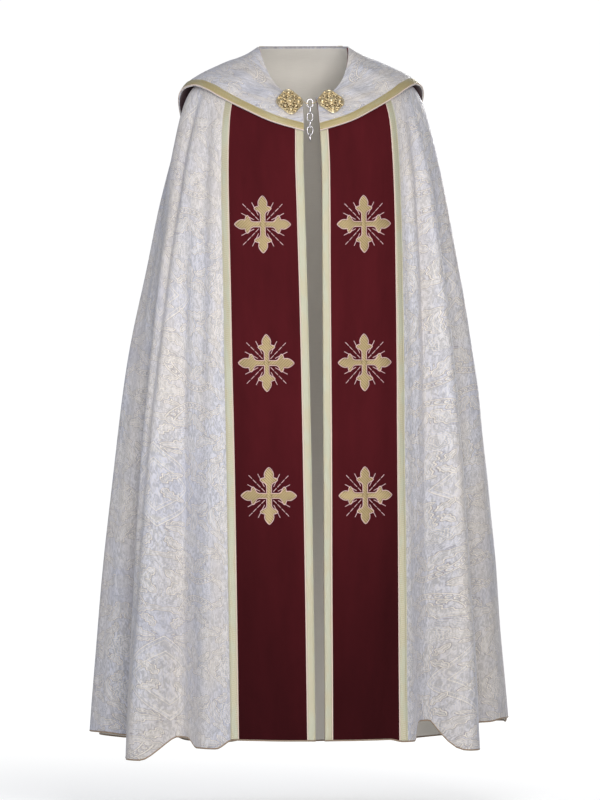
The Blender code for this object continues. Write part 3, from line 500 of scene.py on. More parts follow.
class Cloth:
    """A fine lattice of cloth: points, outward normals, and lengths across and down it."""

    def __init__(self, points, reach):
        self.points = points
        self.reach = reach
        normals = np.cross(np.gradient(points, axis=0), np.gradient(points, axis=1))
        self.normals = normals / np.linalg.norm(normals, axis=-1, keepdims=True)
        self.fall = np.zeros(reach.shape)
        self.fall[:, 1:] = np.cumsum(np.linalg.norm(np.diff(points, axis=1), axis=-1), axis=1)
        self.run = np.zeros(reach.shape)
        self.run[1:] = np.cumsum(np.linalg.norm(np.diff(points, axis=0), axis=-1), axis=0)
        self.last_column, self.last_row = reach.shape[0] - 1, reach.shape[1] - 1

    def read(self, grid, column, row):
        """A grid of the lattice, read between its columns and rows."""
        left = np.clip(np.floor(column).astype(int), 0, self.last_column - 1)
        top = np.clip(np.floor(row).astype(int), 0, self.last_row - 1)
        across, below = column - left, row - top
        if grid.ndim == 3:
            across, below = across[..., None], below[..., None]
        upper = grid[left, top] * (1 - across) + grid[left + 1, top] * across
        lower = grid[left, top + 1] * (1 - across) + grid[left + 1, top + 1] * across
        return upper * (1 - below) + lower * below

    def at(self, column, row, lift=0.0):
        """The cloth's points there, moved out by a lift."""
        column, row = np.asarray(column, float), np.asarray(row, float)
        normal = self.read(self.normals, column, row)
        normal /= np.linalg.norm(normal, axis=-1, keepdims=True)
        return self.read(self.points, column, row) + normal * np.asarray(lift, float)[..., None]

    def find(self, x, z, column, row):
        """The columns and rows of places seen from the front or back, from a first guess."""
        x, z = np.asarray(x, float), np.asarray(z, float)
        column, row = np.full(x.shape, float(column)), np.full(x.shape, float(row))
        step = 0.5
        for _ in range(20):
            here = self.at(column, row)
            by_column = (self.at(column + step, row) - here) / step
            by_row = (self.at(column, row + step) - here) / step
            miss_x, miss_z = x - here[..., 0], z - here[..., 2]
            scale = by_column[..., 0] * by_row[..., 2] - by_column[..., 2] * by_row[..., 0]
            column += (miss_x * by_row[..., 2] - miss_z * by_row[..., 0]) / scale
            row += (by_column[..., 0] * miss_z - by_column[..., 2] * miss_x) / scale
        return column, row

    def row_at_height(self, column, height):
        """The row where one column has a height."""
        heights = self.read(self.points, np.full(self.last_row + 1, float(column)),
                            np.arange(self.last_row + 1, dtype=float))[:, 2]
        return float(np.interp(-height, -heights, np.arange(self.last_row + 1)))


# Columns of the mantle's lattice, from the left front edge round the back to the right front edge
BAND_STEPS = 2 * BRAID_STEPS + VELVET_STEPS
MANTLE_CENTRE = BAND_STEPS + FLUTED_STEPS
MANTLE_LAST = 2 * MANTLE_CENTRE
HOOD_CENTRE = PANEL_STEPS + PANEL_BRAID_STEPS + HOOD_FREE_STEPS


def mantle_cloth(form, crease_share):
    """The mantle with its orphreys, fluted and creased."""
    downs = np.linspace(0, 1, MANTLE_ROWS + 1)
    full = form.half_length(downs)
    fluted = full - ORPHREY_WIDTH
    half = [fluted * step / FLUTED_STEPS for step in range(FLUTED_STEPS + 1)]
    half += [fluted + BRAID_WIDTH * (step + 1) / BRAID_STEPS for step in range(BRAID_STEPS)]
    half += [fluted + BRAID_WIDTH + VELVET_WIDTH * (step + 1) / VELVET_STEPS for step in range(VELVET_STEPS)]
    half += [full - BRAID_WIDTH * (BRAID_STEPS - 1 - step) / BRAID_STEPS for step in range(BRAID_STEPS)]
    reach = np.array([-line for line in reversed(half[1:])] + half)
    down = np.broadcast_to(downs, reach.shape)
    point = form.plain(reach, down)
    step = 0.004
    limit = full - 0.0005
    along = (form.plain(np.minimum(reach + step, limit), down)
             - form.plain(np.maximum(reach - step, -limit), down))
    outward = np.stack([-along[..., 1], along[..., 0], np.zeros(reach.shape)], axis=-1)
    outward /= np.linalg.norm(outward, axis=-1, keepdims=True)
    out, lower = flute_at(form, reach, down)
    place = reach / fluted
    calm = 1 - smooth((np.abs(reach) - fluted + 0.01) / 0.04)
    creased = crease_at(MANTLE_CREASES, place, down, fluted) * calm
    waved = crease_at(ORPHREY_CREASES, place, down, fluted) * (1 - calm)
    loose = smooth((down - 0.16) / 0.25)
    out += crease_share * (creased + waved + ripple_at(reach, point[..., 2]) * loose * (0.25 + 0.75 * calm))
    point += outward * out[..., None]
    point[..., 2] -= lower
    return Cloth(point, reach)


def hood_reach(form, column, down):
    """Distance from the centre back of hood columns, right side, at places down."""
    sewn = PANEL_HALF_WIDTH + PANEL_BRAID_WIDTH
    braid_column, free_column = column - PANEL_STEPS, column - PANEL_STEPS - PANEL_BRAID_STEPS
    free = sewn + (form.half_length(down) - sewn) * free_column / HOOD_FREE_STEPS
    braid = PANEL_HALF_WIDTH + PANEL_BRAID_WIDTH * braid_column / PANEL_BRAID_STEPS
    panel = PANEL_HALF_WIDTH * column / PANEL_STEPS
    return np.where(braid_column <= 0, panel, np.where(free_column <= 0, braid, free))


def hood_cloth(form, crease_share):
    """The hood, from its neckline to its edge. Its last rows lie under the hood's braid."""
    column = np.arange(HOOD_CENTRE + 1, dtype=float)
    edge = np.full(column.shape, 0.3)
    for _ in range(16):
        share = hood_reach(form, column, edge) / form.half_length(edge)
        height = curve_through(HOOD_EDGE, "share", "height", share)
        edge = 0.5 * edge + 0.5 * np.array([form.down_at_height(*pair) for pair in zip(share, height)])
    rim = form.plain(hood_reach(form, column, edge), edge)
    run = np.gradient(rim, axis=0)
    run[0] = rim[1] - rim[0]
    run /= np.linalg.norm(run, axis=-1, keepdims=True)
    step = 0.01
    fall = form.plain(hood_reach(form, column, edge - step), edge - step) - rim
    size = np.linalg.norm(fall, axis=-1)
    crossing = np.linalg.norm(np.cross(run, fall / size[:, None]), axis=-1)
    inset = HOOD_BRAID_WIDTH / crossing / size * step
    rows = [(edge - inset) * (row / HOOD_ROWS) ** HOOD_ROW_CROWDING for row in range(HOOD_ROWS + 1)]
    rows += [edge - inset * (1 - (row + 1) / HOOD_BRAID_ROWS) for row in range(HOOD_BRAID_ROWS)]
    down = np.array(rows).T
    reach = hood_reach(form, column[:, None], down)
    share = reach / form.half_length(down)
    way = down / edge[:, None]

    def mirrored(grid, flip):
        return np.concatenate([grid[:0:-1] * flip, grid])

    plain = mirrored(form.plain(reach, down), np.array([-1.0, 1.0, 1.0]))
    share, way = mirrored(share, -1), mirrored(way, 1)
    base = Cloth(plain, mirrored(reach, -1))
    offset = np.minimum(np.abs(np.abs(share) - WING_SHARE) / WING_SPREAD, 1)
    flare = WING_FLARE * np.cos(offset * pi / 2) ** 2 * way**2
    lift = HOOD_LIFT_NECK + (HOOD_LIFT_EDGE - HOOD_LIFT_NECK) * smooth(way * 5) + flare
    lift += crease_share * crease_at(HOOD_CREASES, share, way, 1.0) * smooth(way * 3)
    return Cloth(base.points + base.normals * lift[..., None], base.reach)


# ---------------------------------------------------------------- mesh helpers

def finish_piece(thing, body, *nodes, slot=None):
    """Put a piece in the scene, on its body, in place of the solids that it stands for."""
    bpy.context.scene.collection.objects.link(thing)
    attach(thing, body)
    if nodes:
        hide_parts(*nodes)
    return thing


def mesh_piece(name, mesh, materials, sharp=50.0):
    for material in materials:
        mesh.materials.append(material)
    mesh.polygons.foreach_set("use_smooth", np.ones(len(mesh.polygons), bool))
    mesh.set_sharp_from_angle(angle=radians(sharp))
    return bpy.data.objects.new(name, mesh)


def lay(name, cloth, columns, rows, base, height, materials, grain=None, lined=False, corded=None):
    """A closed piece of cloth over a lattice's columns and rows, from base out to base + height.

    Its UV map holds lengths: across from the grain column, or from the first row where grain is None.
    corded says which strips between the columns, or the rows where grain is None, have the second material.
    """
    wide, tall = len(columns), len(rows)
    count = wide * tall
    column, row = (np.tile(grid.ravel(), 2) for grid in np.meshgrid(columns, rows, indexing="ij"))
    lift = np.concatenate([np.full(count, base), base + np.broadcast_to(height, (wide, tall)).ravel()])
    number = np.arange(count).reshape(wide, tall)
    inner = np.stack([number[:-1, :-1], number[:-1, 1:], number[1:, 1:], number[1:, :-1]], -1).reshape(-1, 4)
    rim = np.concatenate([number[:-1, 0], number[-1, :-1], number[:0:-1, -1], number[0, :0:-1]])
    after = np.roll(rim, -1)
    sides = np.stack([rim, after, after + count, rim + count], -1)
    faces = np.concatenate([inner, inner[:, ::-1] + count, sides])
    mesh = bpy.data.meshes.new(name)
    mesh.from_pydata(cloth.at(column, row, lift).tolist(), [], faces.tolist())

    if lined:
        mesh.polygons.foreach_set("material_index", (np.arange(len(faces)) < len(inner)).astype(np.int32))
    if corded is not None:
        places = faces % tall if grain is None else faces % count // tall
        strip = np.minimum(places.mean(axis=1).astype(int), len(corded) - 1)
        mesh.polygons.foreach_set("material_index", corded[strip].astype(np.int32))

    if grain is None:
        first = np.full(row.shape, float(rows[0]))
        flat = (cloth.read(cloth.fall, column, row) - cloth.read(cloth.fall, column, first),
                cloth.read(cloth.run, column, first))
    else:
        start = cloth.read(cloth.reach, np.full(row.shape, float(grain)), row)
        flat = cloth.read(cloth.reach, column, row) - start, -cloth.read(cloth.fall, column, row)
    corners = np.stack(flat, -1)[faces.ravel()]
    mesh.uv_layers.new(name="Cloth").data.foreach_set("uv", corners.astype(np.float32).ravel())
    return mesh_piece(name, mesh, materials)


def wire_curve(name, paths, radius, closed=False, resolution=2):
    """A curve of round wires, one along each path."""
    curve = bpy.data.curves.new(name, "CURVE")
    curve.dimensions = "3D"
    curve.bevel_depth = radius
    curve.bevel_resolution = resolution
    curve.use_fill_caps = True
    for path in paths:
        spline = curve.splines.new("POLY")
        spline.points.add(len(path) - 1)
        for target, point in zip(spline.points, path):
            target.co = (*point, 1.0)
        spline.use_cyclic_u = closed
    return curve


def wires(paths, radius, closed=False, resolution=2):
    """A mesh of round wires, one along each path."""
    curve = wire_curve("wires", paths, radius, closed, resolution)
    thing = bpy.data.objects.new("wires", curve)
    mesh = bpy.data.meshes.new_from_object(thing)
    bpy.data.objects.remove(thing)
    bpy.data.curves.remove(curve)
    return mesh


def add_mesh(work, mesh, index=None):
    """Add a mesh to a bmesh, with one material index or with those that it has."""
    before = set(work.faces)
    work.from_mesh(mesh)
    for face in work.faces:
        if index is not None and face not in before:
            face.material_index = index
    bpy.data.meshes.remove(mesh)


def bead(work, place, radius, flat=1.0):
    """A round bead, flattened by a share."""
    matrix = Matrix.Translation(place) @ Matrix.Diagonal((1, 1, flat, 1))
    bmesh.ops.create_icosphere(work, subdivisions=2, radius=radius, matrix=matrix)


def finish_work(work, name, place=None):
    """The mesh of a bmesh, moved to a place."""
    if place is not None:
        bmesh.ops.transform(work, matrix=place, verts=work.verts[:])
    mesh = bpy.data.meshes.new(name)
    work.to_mesh(mesh)
    work.free()
    return mesh


def settle(work):
    """Put a bmesh's edges and faces in the order of their points, which is the same on every run."""
    work.verts.index_update()
    for items in (work.edges, work.faces):
        ordered = sorted(items, key=lambda item: sorted(vert.index for vert in item.verts))
        for number, item in enumerate(ordered):
            item.index = number
        items.sort()


def aimed(place, direction, axis="Z"):
    """A matrix at a place, with one axis along a direction."""
    return Matrix.Translation(place) @ direction.to_track_quat(axis, "Y").to_matrix().to_4x4()


def on_circle(radius, angle, height=0.0):
    return Vector((radius * cos(angle), radius * sin(angle), height))


# ---------------------------------------------------------------- materials

class Field:
    """A shader socket that takes part in sums, products and comparisons."""

    def __init__(self, graph, socket):
        self.graph, self.socket = graph, socket

    def math(self, operation, *values):
        return self.graph.node("ShaderNodeMath", dict(enumerate((self, *values))), operation=operation)

    def __add__(self, other):
        return self.math("ADD", other)

    def __sub__(self, other):
        return self.math("SUBTRACT", other)

    def __rsub__(self, other):
        return self.graph.node("ShaderNodeMath", {0: other, 1: self}, operation="SUBTRACT")

    def __mul__(self, other):
        return self.math("MULTIPLY", other)

    def __truediv__(self, other):
        return self.math("DIVIDE", other)

    def __abs__(self):
        return self.math("ABSOLUTE")

    __radd__, __rmul__ = __add__, __mul__

    def fold(self, length):
        """Runs up to a length and back again, over and over."""
        return self.math("PINGPONG", length)

    def steps(self, low, high):
        """0 below low, 1 above high, and smooth between."""
        return self.graph.node("ShaderNodeMapRange", {0: self, 1: low, 2: high},
                               interpolation_type="SMOOTHSTEP")

    def line(self, half):
        """1 where a distance from a line is under its half width."""
        return abs(self).steps(half * 1.4, half * 0.6)

    def axes(self):
        made = self.graph.tree.nodes.new("ShaderNodeSeparateXYZ")
        self.graph.feed(made.inputs[0], self)
        return [Field(self.graph, socket) for socket in made.outputs]

    def scaled(self, *factors):
        return self.graph.node("ShaderNodeVectorMath", {0: self, 1: factors}, operation="MULTIPLY")

    def length(self):
        return self.graph.node("ShaderNodeVectorMath", {0: self}, out=1, operation="LENGTH")


def most(*values):
    return reduce(lambda first, second: first.math("MAXIMUM", second), values)


def least(*values):
    return reduce(lambda first, second: first.math("MINIMUM", second), values)


class Graph:
    """Adds shader nodes to a tree, one call for each, and hands back their outputs as fields."""

    def __init__(self, tree):
        self.tree = tree

    def feed(self, socket, value):
        if isinstance(value, Field):
            self.tree.links.new(value.socket, socket)
        else:
            socket.default_value = value

    def node(self, kind, sockets, out=0, **choices):
        made = self.tree.nodes.new(kind)
        for key, value in choices.items():
            setattr(made, key, value)
        for key, value in sockets.items():
            self.feed(made.inputs[key], value)
        return Field(self, made.outputs[out])

    def join(self, x, y):
        return self.node("ShaderNodeCombineXYZ", {0: x, 1: y})

    def noise(self, vector, scale, detail=2.0, roughness=0.5, distortion=0.0):
        return self.node("ShaderNodeTexNoise", {"Vector": vector, "Scale": scale, "Detail": detail,
                                                "Roughness": roughness, "Distortion": distortion})

    def mix(self, factor, first, second):
        ends = [value if isinstance(value, Field) else (*value[:3], 1.0) for value in (first, second)]
        return self.node("ShaderNodeMix", {0: factor, 6: ends[0], 7: ends[1]}, out=2, data_type="RGBA")

    def shaded(self, factor, colour):
        """A colour made lighter or darker by a factor that varies round 1."""
        colour = colour if isinstance(colour, Field) else colour[:3]
        return self.node("ShaderNodeVectorMath", {0: colour, "Scale": factor}, operation="SCALE")

    def use(self, group, **sockets):
        """A node group's outputs, with its inputs fed by name."""
        made = self.tree.nodes.new("ShaderNodeGroup")
        made.node_tree = group
        for key, value in sockets.items():
            self.feed(made.inputs[key], value)
        return [Field(self, socket) for socket in made.outputs]

    def cloth_place(self):
        return self.node("ShaderNodeUVMap", {}, uv_map="Cloth")

    def object_place(self):
        return self.node("ShaderNodeTexCoord", {}, out=3)

    def seen(self):
        """1 for what the camera sees and 0 for what lights the rest."""
        return self.node("ShaderNodeLightPath", {})


def effect(name, numbers, outputs):
    """A shader node group on a vector called Place: its tree, its graph and its input fields."""
    tree = bpy.data.node_groups.new(name, "ShaderNodeTree")
    tree.interface.new_socket(name="Place", in_out="INPUT", socket_type="NodeSocketVector")
    for label, value in numbers.items():
        socket = tree.interface.new_socket(name=label, in_out="INPUT", socket_type="NodeSocketFloat")
        socket.default_value = value
    for label in outputs:
        tree.interface.new_socket(name=label, in_out="OUTPUT", socket_type="NodeSocketFloat")
    start = tree.nodes.new("NodeGroupInput")
    g = Graph(tree)
    return g, {socket.name: Field(g, socket) for socket in start.outputs if socket.name}


def close_effect(g, *results):
    end = g.tree.nodes.new("NodeGroupOutput")
    for socket, value in zip(end.inputs, results):
        g.feed(socket, value)
    return g.tree


# Leaves of the woven figure: where each springs from, its direction, length and bow, all in the mirrored
# repeat, whose corner lies at the middle of the back. Sprigs repeat twice as often across, and four times
# as often up.
Leaf = namedtuple("Leaf", "across up turn long bow")
LEAVES = table(
    Leaf,
    (0.082, 0.034, 38, 0.058, 0.62),
    (0.078, 0.036, 135, 0.046, -0.55),
    (0.116, 0.072, -18, 0.044, -0.70),
    (0.146, 0.026, 208, 0.050, 0.80),
    (0.098, 0.092, 28, 0.052, 0.60),
    (0.074, 0.104, 196, 0.054, 0.70),
    (0.090, 0.122, 95, 0.052, 0.60),
    (0.004, 0.062, 60, 0.050, 0.70),
    (0.032, 0.178, 250, 0.050, 0.75),
    (0.042, 0.184, 352, 0.050, -0.70),
)
SPRIGS = table(
    Leaf,
    (0.008, 0.006, 38, 0.036, 0.65),
    (0.070, 0.044, 214, 0.034, -0.65),
)
# The half width of a leaf at a share of its length, both against its length
LeafEdge = namedtuple("LeafEdge", "share half")
LEAF_EDGE = table(
    LeafEdge,
    (0.00, -0.040), (0.03, 0.030), (0.16, 0.140), (0.22, 0.105), (0.36, 0.190),
    (0.44, 0.125), (0.58, 0.175), (0.66, 0.105), (0.80, 0.110), (0.90, 0.060),
    (1.00, -0.040),
)
Flower = namedtuple("Flower", "across up radius petals")
FLOWERS = table(
    Flower,
    (0.066, 0.000, 0.0095, 6),
    (0.090, 0.104, 0.0150, 7),
    (0.000, 0.155, 0.0210, 9),
    (0.000, 0.020, 0.0120, 8),
)
SPRIG_ROOM = 0.0060          # how near a sprig may come to a leaf
ECHO_PITCH = 0.0034          # between the lines that echo a leaf's outline
INNER_PITCH = 0.0024         # and between those inside it
# The two chain-stitched arcs: the middle and radius of their circle, and where they start and end
ARC_ACROSS, ARC_UP, ARC_RADIUS = 0.073, 0.077, 0.0585
ARC_STARTS, ARC_ENDS = -0.83, 1.30
ARC_LINK = 0.0098
VEIN_INSET = 0.0024          # how far inside a leaf's outline its vein ends
LOZENGE_BARS = ((0.088, 0.0010), (0.080, 0.0006), (0.056, 0.0009), (0.049, 0.0006))
LOZENGE_SHADE = 0.0905
# Pitches of the braids' lattice and threads, and of twisted cord
LATTICE_WIDE, LATTICE_TALL, BRAID_THREAD, TWIST_PITCH = 0.0036, 0.0042, 0.0012, 0.0016


def leaf_spray(g, place, leaves):
    """The distances from the joined outline of some leaves, and from their veins."""
    outlines, veins = zip(*(leaf_distances(g, place, leaf) for leaf in leaves))
    return least(*outlines), least(*veins)


def leaf_distances(g, place, leaf):
    """The distance from a leaf's outline, negative inside, and from its middle vein."""
    local = g.node("ShaderNodeMapping", {"Vector": place, "Location": (leaf.across, leaf.up, 0),
                                         "Rotation": (0, 0, radians(leaf.turn)),
                                         "Scale": (leaf.long, leaf.long, 1)}, vector_type="TEXTURE")
    along, off, _ = local.axes()
    off = abs((along * along - along).math("MULTIPLY_ADD", leaf.bow, off))
    outline = (off - leaf_half_width(g, along)) * leaf.long
    return outline, most(off * leaf.long, outline + VEIN_INSET)


def leaf_half_width(g, along):
    """A leaf's lobed half width at a share of its length."""
    made = g.tree.nodes.new("ShaderNodeFloatCurve")
    mapping = made.mapping
    mapping.use_clip = False
    curve = mapping.curves[0]
    for point, edge in zip(list(curve.points), (LEAF_EDGE[0], LEAF_EDGE[-1])):
        point.location = (edge.share, edge.half)
    for edge in LEAF_EDGE[1:-1]:
        curve.points.new(edge.share, edge.half)
    mapping.update()
    g.feed(made.inputs["Value"], along)
    return Field(g, made.outputs[0])


def damask_effect(half_repeat, repeat):
    """The woven figure: mirrored leaves, chain-stitched arcs and round flowers, in lengths on the cloth."""
    g, given = effect("woven_damask", {}, ("Figure", "Outline", "Shade", "Height"))
    x, y, _ = given["Place"].axes()
    across, up = x.fold(half_repeat), y.fold(repeat / 2)
    flat = g.join(across, up)
    wobble = (g.noise(flat, 48.0, 1.0) - 0.5) * 0.0045
    place = g.join(across + wobble, up - wobble)

    # leaves, joined into one outline with veins inside it, and sprigs where there is room
    edge, vein = leaf_spray(g, place, LEAVES)
    right, above, _ = place.axes()
    sprigs = g.join(right.fold(half_repeat / 2), above.fold(repeat / 8))
    sprig_edge, sprig_vein = leaf_spray(g, sprigs, SPRIGS)
    no_room = SPRIG_ROOM - edge
    edge = least(edge, most(sprig_edge, no_room))
    vein = least(vein, most(sprig_vein, no_room))
    inside = edge.steps(0.0002, -0.0004)
    echoes = (edge - 0.0042).fold(ECHO_PITCH / 2).line(0.0005) * edge.steps(0.0034, 0.0038)
    inner = (edge + 0.0026).fold(INNER_PITCH / 2).line(0.0004) * edge.steps(-0.0018, -0.0022)
    leaf_lines = most(edge.line(0.0008), inner * 0.7, vein.line(0.0005) * 0.8)
    leaf_shade = most((edge - 0.0013).line(0.0005), (edge + 0.0014).line(0.0004) * 0.6)

    # two chain-stitched arcs that spring from each node
    from_middle, from_below = across - ARC_ACROSS, up - ARC_UP
    off = (from_middle * from_middle + from_below * from_below).math("SQRT") - ARC_RADIUS
    bearing = from_middle.math("ARCTAN2", from_below * -1)
    on_arc = bearing.steps(ARC_STARTS, ARC_STARTS + 0.05) * bearing.steps(ARC_ENDS, ARC_ENDS - 0.05)
    cell = ((bearing * (ARC_RADIUS / ARC_LINK)).math("FRACT") - 0.5) * ARC_LINK
    ring = (cell * cell + off * off).math("SQRT")
    open_side = cell.steps(0.0010, 0.0016) * off.line(0.0014)
    links = (ring - 0.0027).line(0.0007) * (1 - open_side)
    borders = (abs(off) - 0.0053).line(0.0007)
    arc_band = abs(off).steps(0.0068, 0.0060) * on_arc
    arc_shade = most((abs(off) - 0.0064).line(0.0005), (ring - 0.0038).line(0.0006)) * on_arc

    # flowers, each of rings that follow its petals
    flower_lines, flower_areas = [], []
    for flower in FLOWERS:
        local = g.node("ShaderNodeVectorMath", {0: place, 1: (flower.across, flower.up, 0)},
                       operation="SUBTRACT")
        right, above, _ = local.axes()
        wave = (right.math("ARCTAN2", above) * flower.petals).math("COSINE")
        rim = local.length() - wave.math("MULTIPLY_ADD", 0.12 * flower.radius, flower.radius)
        rings = (rim / flower.radius).fold(0.13).line(0.035)
        flower_lines.append(rings * rim.steps(0.0012, 0.0006))
        flower_areas.append(rim.steps(0.0030, 0.0018))
    flower_area = most(*flower_areas)

    # nested lozenges in the far corner of the repeat, filled with upright flecks
    lozenge = (half_repeat - across) * 1.30 + (repeat / 2 - up)
    bars = most(*((lozenge - far).line(half) for far, half in LOZENGE_BARS))
    flecks = g.noise(flat.scaled(1.0, 0.22, 1.0), 330.0, 1.0, 0.6).steps(0.50, 0.60)
    fleck_zone = g.noise(flat, 14.0, 0.0).steps(0.40, 0.52)
    in_lozenge = lozenge.steps(0.084, 0.078)
    echo_zone = 1 - most(in_lozenge, fleck_zone) * 0.6

    free = (1 - arc_band) * (1 - flower_area)
    ground = free * (1 - inside)
    outline = most(most(links, borders) * on_arc, most(*flower_lines) * 0.95, leaf_lines * free,
                   bars * ground, echoes * echo_zone * ground * 0.62)
    # Shade is painted shade: dark lines beside the outlines, which make the figure look raised.
    shade = most(arc_shade, leaf_shade * free, (lozenge - LOZENGE_SHADE).line(0.0007) * ground * 0.6)
    fill = most(inside * free * 0.40, flower_area * 0.45, arc_band * 0.30,
                flecks * most(in_lozenge, fleck_zone * 0.75) * ground)
    return close_effect(g, fill, outline, shade, outline + fill * 0.45 + shade * -0.4)


def weave_effect():
    """Crossing threads, at a pitch given as threads to the metre."""
    g, given = effect("thread_weave", {"Threads": 900.0, "Slack": 0.15}, ("Height", "Tone"))
    place, threads = given["Place"], given["Threads"]
    shift = g.noise(place, 60.0, 2.0) * given["Slack"]
    warp, weft = (((axis * threads + shift) * (2 * pi)).math("SINE") for axis in place.axes()[:2])
    slub = g.noise(place.scaled(1.0, 14.0, 1.0), 40.0, 3.0, 0.6)
    return close_effect(g, warp * weft * 0.5 + 0.5, slub)


def tone_effect():
    """Slow changes of tone down a hanging cloth, round 0.5."""
    g, given = effect("hanging_tone", {"Streak": 9.0}, ("Streaks", "Clouds"))
    streaks = g.noise(given["Place"].scaled(1.0, 0.16, 1.0), given["Streak"], 3.0, 0.55)
    return close_effect(g, streaks, g.noise(given["Place"], 5.0, 3.0, 0.5))


def wear_effect():
    """Fine scratches and rubbed places on metal, round 0.5."""
    g, given = effect("metal_wear", {"Size": 900.0}, ("Rubbed", "Pits"))
    rubbed = g.noise(given["Place"], given["Size"] * 0.35, 3.0, 0.6)
    return close_effect(g, rubbed, g.noise(given["Place"], given["Size"], 4.0, 0.65))


def new_material(name, **constants):
    """A material, its graph, and a function that feeds its Principled shader."""
    material = bpy.data.materials.new(name)
    material.use_nodes = True
    tree = material.node_tree
    shader = tree.nodes["Principled BSDF"]
    g = Graph(tree)
    for key, value in constants.items():
        shader.inputs[key.replace("_", " ").title().replace("Ior", "IOR")].default_value = value

    def feed(bump=None, strength=0.3, distance=0.0005, **sockets):
        if bump is not None:
            sockets["Normal"] = g.node("ShaderNodeBump", {"Strength": strength, "Distance": distance,
                                                          "Height": bump})
        for key, value in sockets.items():
            g.feed(shader.inputs[key.replace("_", " ")], value)
    return material, g, feed


def make_materials(cloth, trim, metal):
    """Every finish of the cope, by name."""
    weave, tone = weave_effect(), tone_effect()
    made = {"brocade": brocade(cloth, weave, tone), "velvet": velvet(cloth, tone)}

    for key, tint, rough in (("lining", cloth.lining, 0.42), ("hood_lining", cloth.hood_lining, 0.40)):
        made[key], g, feed = new_material(key, sheen_weight=0.25, roughness=rough, specular_ior_level=0.4)
        place = g.cloth_place()
        thread, slub = g.use(weave, Place=place, Threads=900.0)
        streaks = g.use(tone, Place=place, Streak=14.0)[0]
        feed(bump=thread, strength=0.12, distance=0.0003,
             Base_Color=g.shaded(0.86 + slub * 0.12 + streaks * 0.16, tint))

    for key, gold, silver, green in (("braid", trim.pale_gold, trim.braid_silver, 0.50),
                                     ("hood_braid", trim.braid_gold, trim.pale_gold, 0.20)):
        made[key] = braid(f"gold_{key}", gold, silver, green)

    for key, tint, rough, shine in (("piping", trim.piping, 0.5, 0.1), ("binding", trim.binding, 0.55, 0.15)):
        made[key], g, feed = new_material(key, roughness=rough, metallic=shine, sheen_weight=0.2)
        place = g.cloth_place()
        twist = (place.axes()[1] * (2 * pi / TWIST_PITCH)).math("SINE")
        spark = g.noise(place, 700.0, 2.0)
        feed(bump=twist + spark, strength=0.4, distance=0.0003,
             Base_Color=g.shaded(0.80 + twist * 0.06 + spark * 0.36, tint))

    for key, tint, shine, rough in (("binding_round", trim.binding, 0.15, 0.55),
                                    ("gold_thread", trim.gold_thread, 0.35, 0.38),
                                    ("gap_thread", trim.gap_thread, 0.20, 0.60),
                                    ("pale_thread", trim.pale_thread, 0.0, 0.55),
                                    ("tassel_head", trim.tassel_head, 0.25, 0.42)):
        made[key], g, feed = new_material(key, metallic=shine, roughness=rough, sheen_weight=0.2)
        place = g.object_place()
        fibre, patch = g.noise(place, 2600.0, 2.0, 0.6), g.noise(place, 120.0, 2.0)
        feed(bump=fibre, strength=0.5, distance=0.0003,
             Base_Color=g.shaded(0.62 + fibre * 0.36 + patch * 0.36, tint))

    made["tassel"], g, feed = new_material("tassel_silk", roughness=0.42, sheen_weight=0.35, metallic=0.10,
                                           specular_ior_level=0.5)
    place = g.object_place()
    strand = g.noise(place.scaled(1.0, 1.0, 0.06), 700.0, 2.0, 0.7)
    fibre = g.noise(place.scaled(1.0, 1.0, 0.2), 3000.0, 1.0)
    feed(bump=fibre, strength=0.3, distance=0.0002,
         Base_Color=g.shaded(0.50 + strand * 0.75 + fibre * 0.25, trim.tassel))

    wear = wear_effect()
    # The gilt's dark colour is rubbed patina; the second finish, on the rosette's back disc, is painted shade
    # for the gaps between the wires.
    for key, tint, dark, worn, shine, rough in (("gilt", metal.gilt, metal.patina, 0.35, 0.85, 0.22),
                                                ("patina", metal.patina, metal.hollow, 0.80, 0.5, 0.45)):
        made[key], g, feed = new_material(f"{key}_metal", metallic=shine)
        rubbed, pits = g.use(wear, Place=g.object_place(), Size=900.0)
        feed(bump=pits, strength=0.25, distance=0.0002, Roughness=rough + pits * 0.30,
             Base_Color=g.mix(rubbed.steps(0.56, 0.36) * worn, tint, dark))

    made["silver"], g, feed = new_material("silvered_metal", metallic=1.0)
    rubbed, pits = g.use(wear, Place=g.object_place(), Size=1200.0)
    feed(bump=pits, strength=0.15, distance=0.0002, Roughness=0.18 + pits * 0.30,
         Base_Color=g.shaded(0.72 + rubbed * 0.5, metal.silver))
    return made


def brocade(cloth, weave, tone):
    """Silvery brocade with its woven figure, warm streaks, cool clouds and painted shade towards the hem."""
    damask = damask_effect(cloth.half_repeat, cloth.repeat)
    material, g, feed = new_material("silver_brocade", sheen_weight=0.35, sheen_roughness=0.45,
                                     sheen_tint=(0.92, 0.92, 1.0, 1.0), specular_ior_level=0.35)
    place = g.cloth_place()
    figure, outline, shade, relief = g.use(damask, Place=place)
    thread, slub = g.use(weave, Place=place, Threads=620.0)
    streaks, clouds = g.use(tone, Place=place, Streak=10.0)
    glint = g.noise(place.scaled(1.0, 0.30, 1.0), 230.0, 2.0, 0.6, 1.4).steps(0.36, 0.64)
    tint = 0.70 + slub * 0.22 + thread * 0.06 + glint * 0.30
    colour = g.shaded(tint, g.mix(figure, cloth.ground, cloth.figure))
    colour = g.mix(streaks.steps(0.42, 0.64) * 0.50, colour, (0.67, 0.60, 0.53))
    colour = g.mix(clouds.steps(0.50, 0.30) * 0.34, colour, (0.46, 0.47, 0.58))
    # Painted shade beside the figure's outlines.
    colour = g.mix(shade * 0.75, colour, cloth.shade)
    colour = g.mix(outline * 0.88, colour, cloth.outline)
    # Painted shade: the colour is made darker towards the hem, where less light falls, and the glint noise
    # lightens it a little.
    hem_shade_and_glint = 0.83 + place.axes()[1].steps(-1.45, -0.80) * 0.10 + glint * 0.14
    feed(bump=relief + thread * 0.35, strength=0.45, distance=0.0006, Base_Color=g.shaded(hem_shade_and_glint, colour),
         Roughness=0.56 + figure * -0.14 + outline * -0.10)
    return material


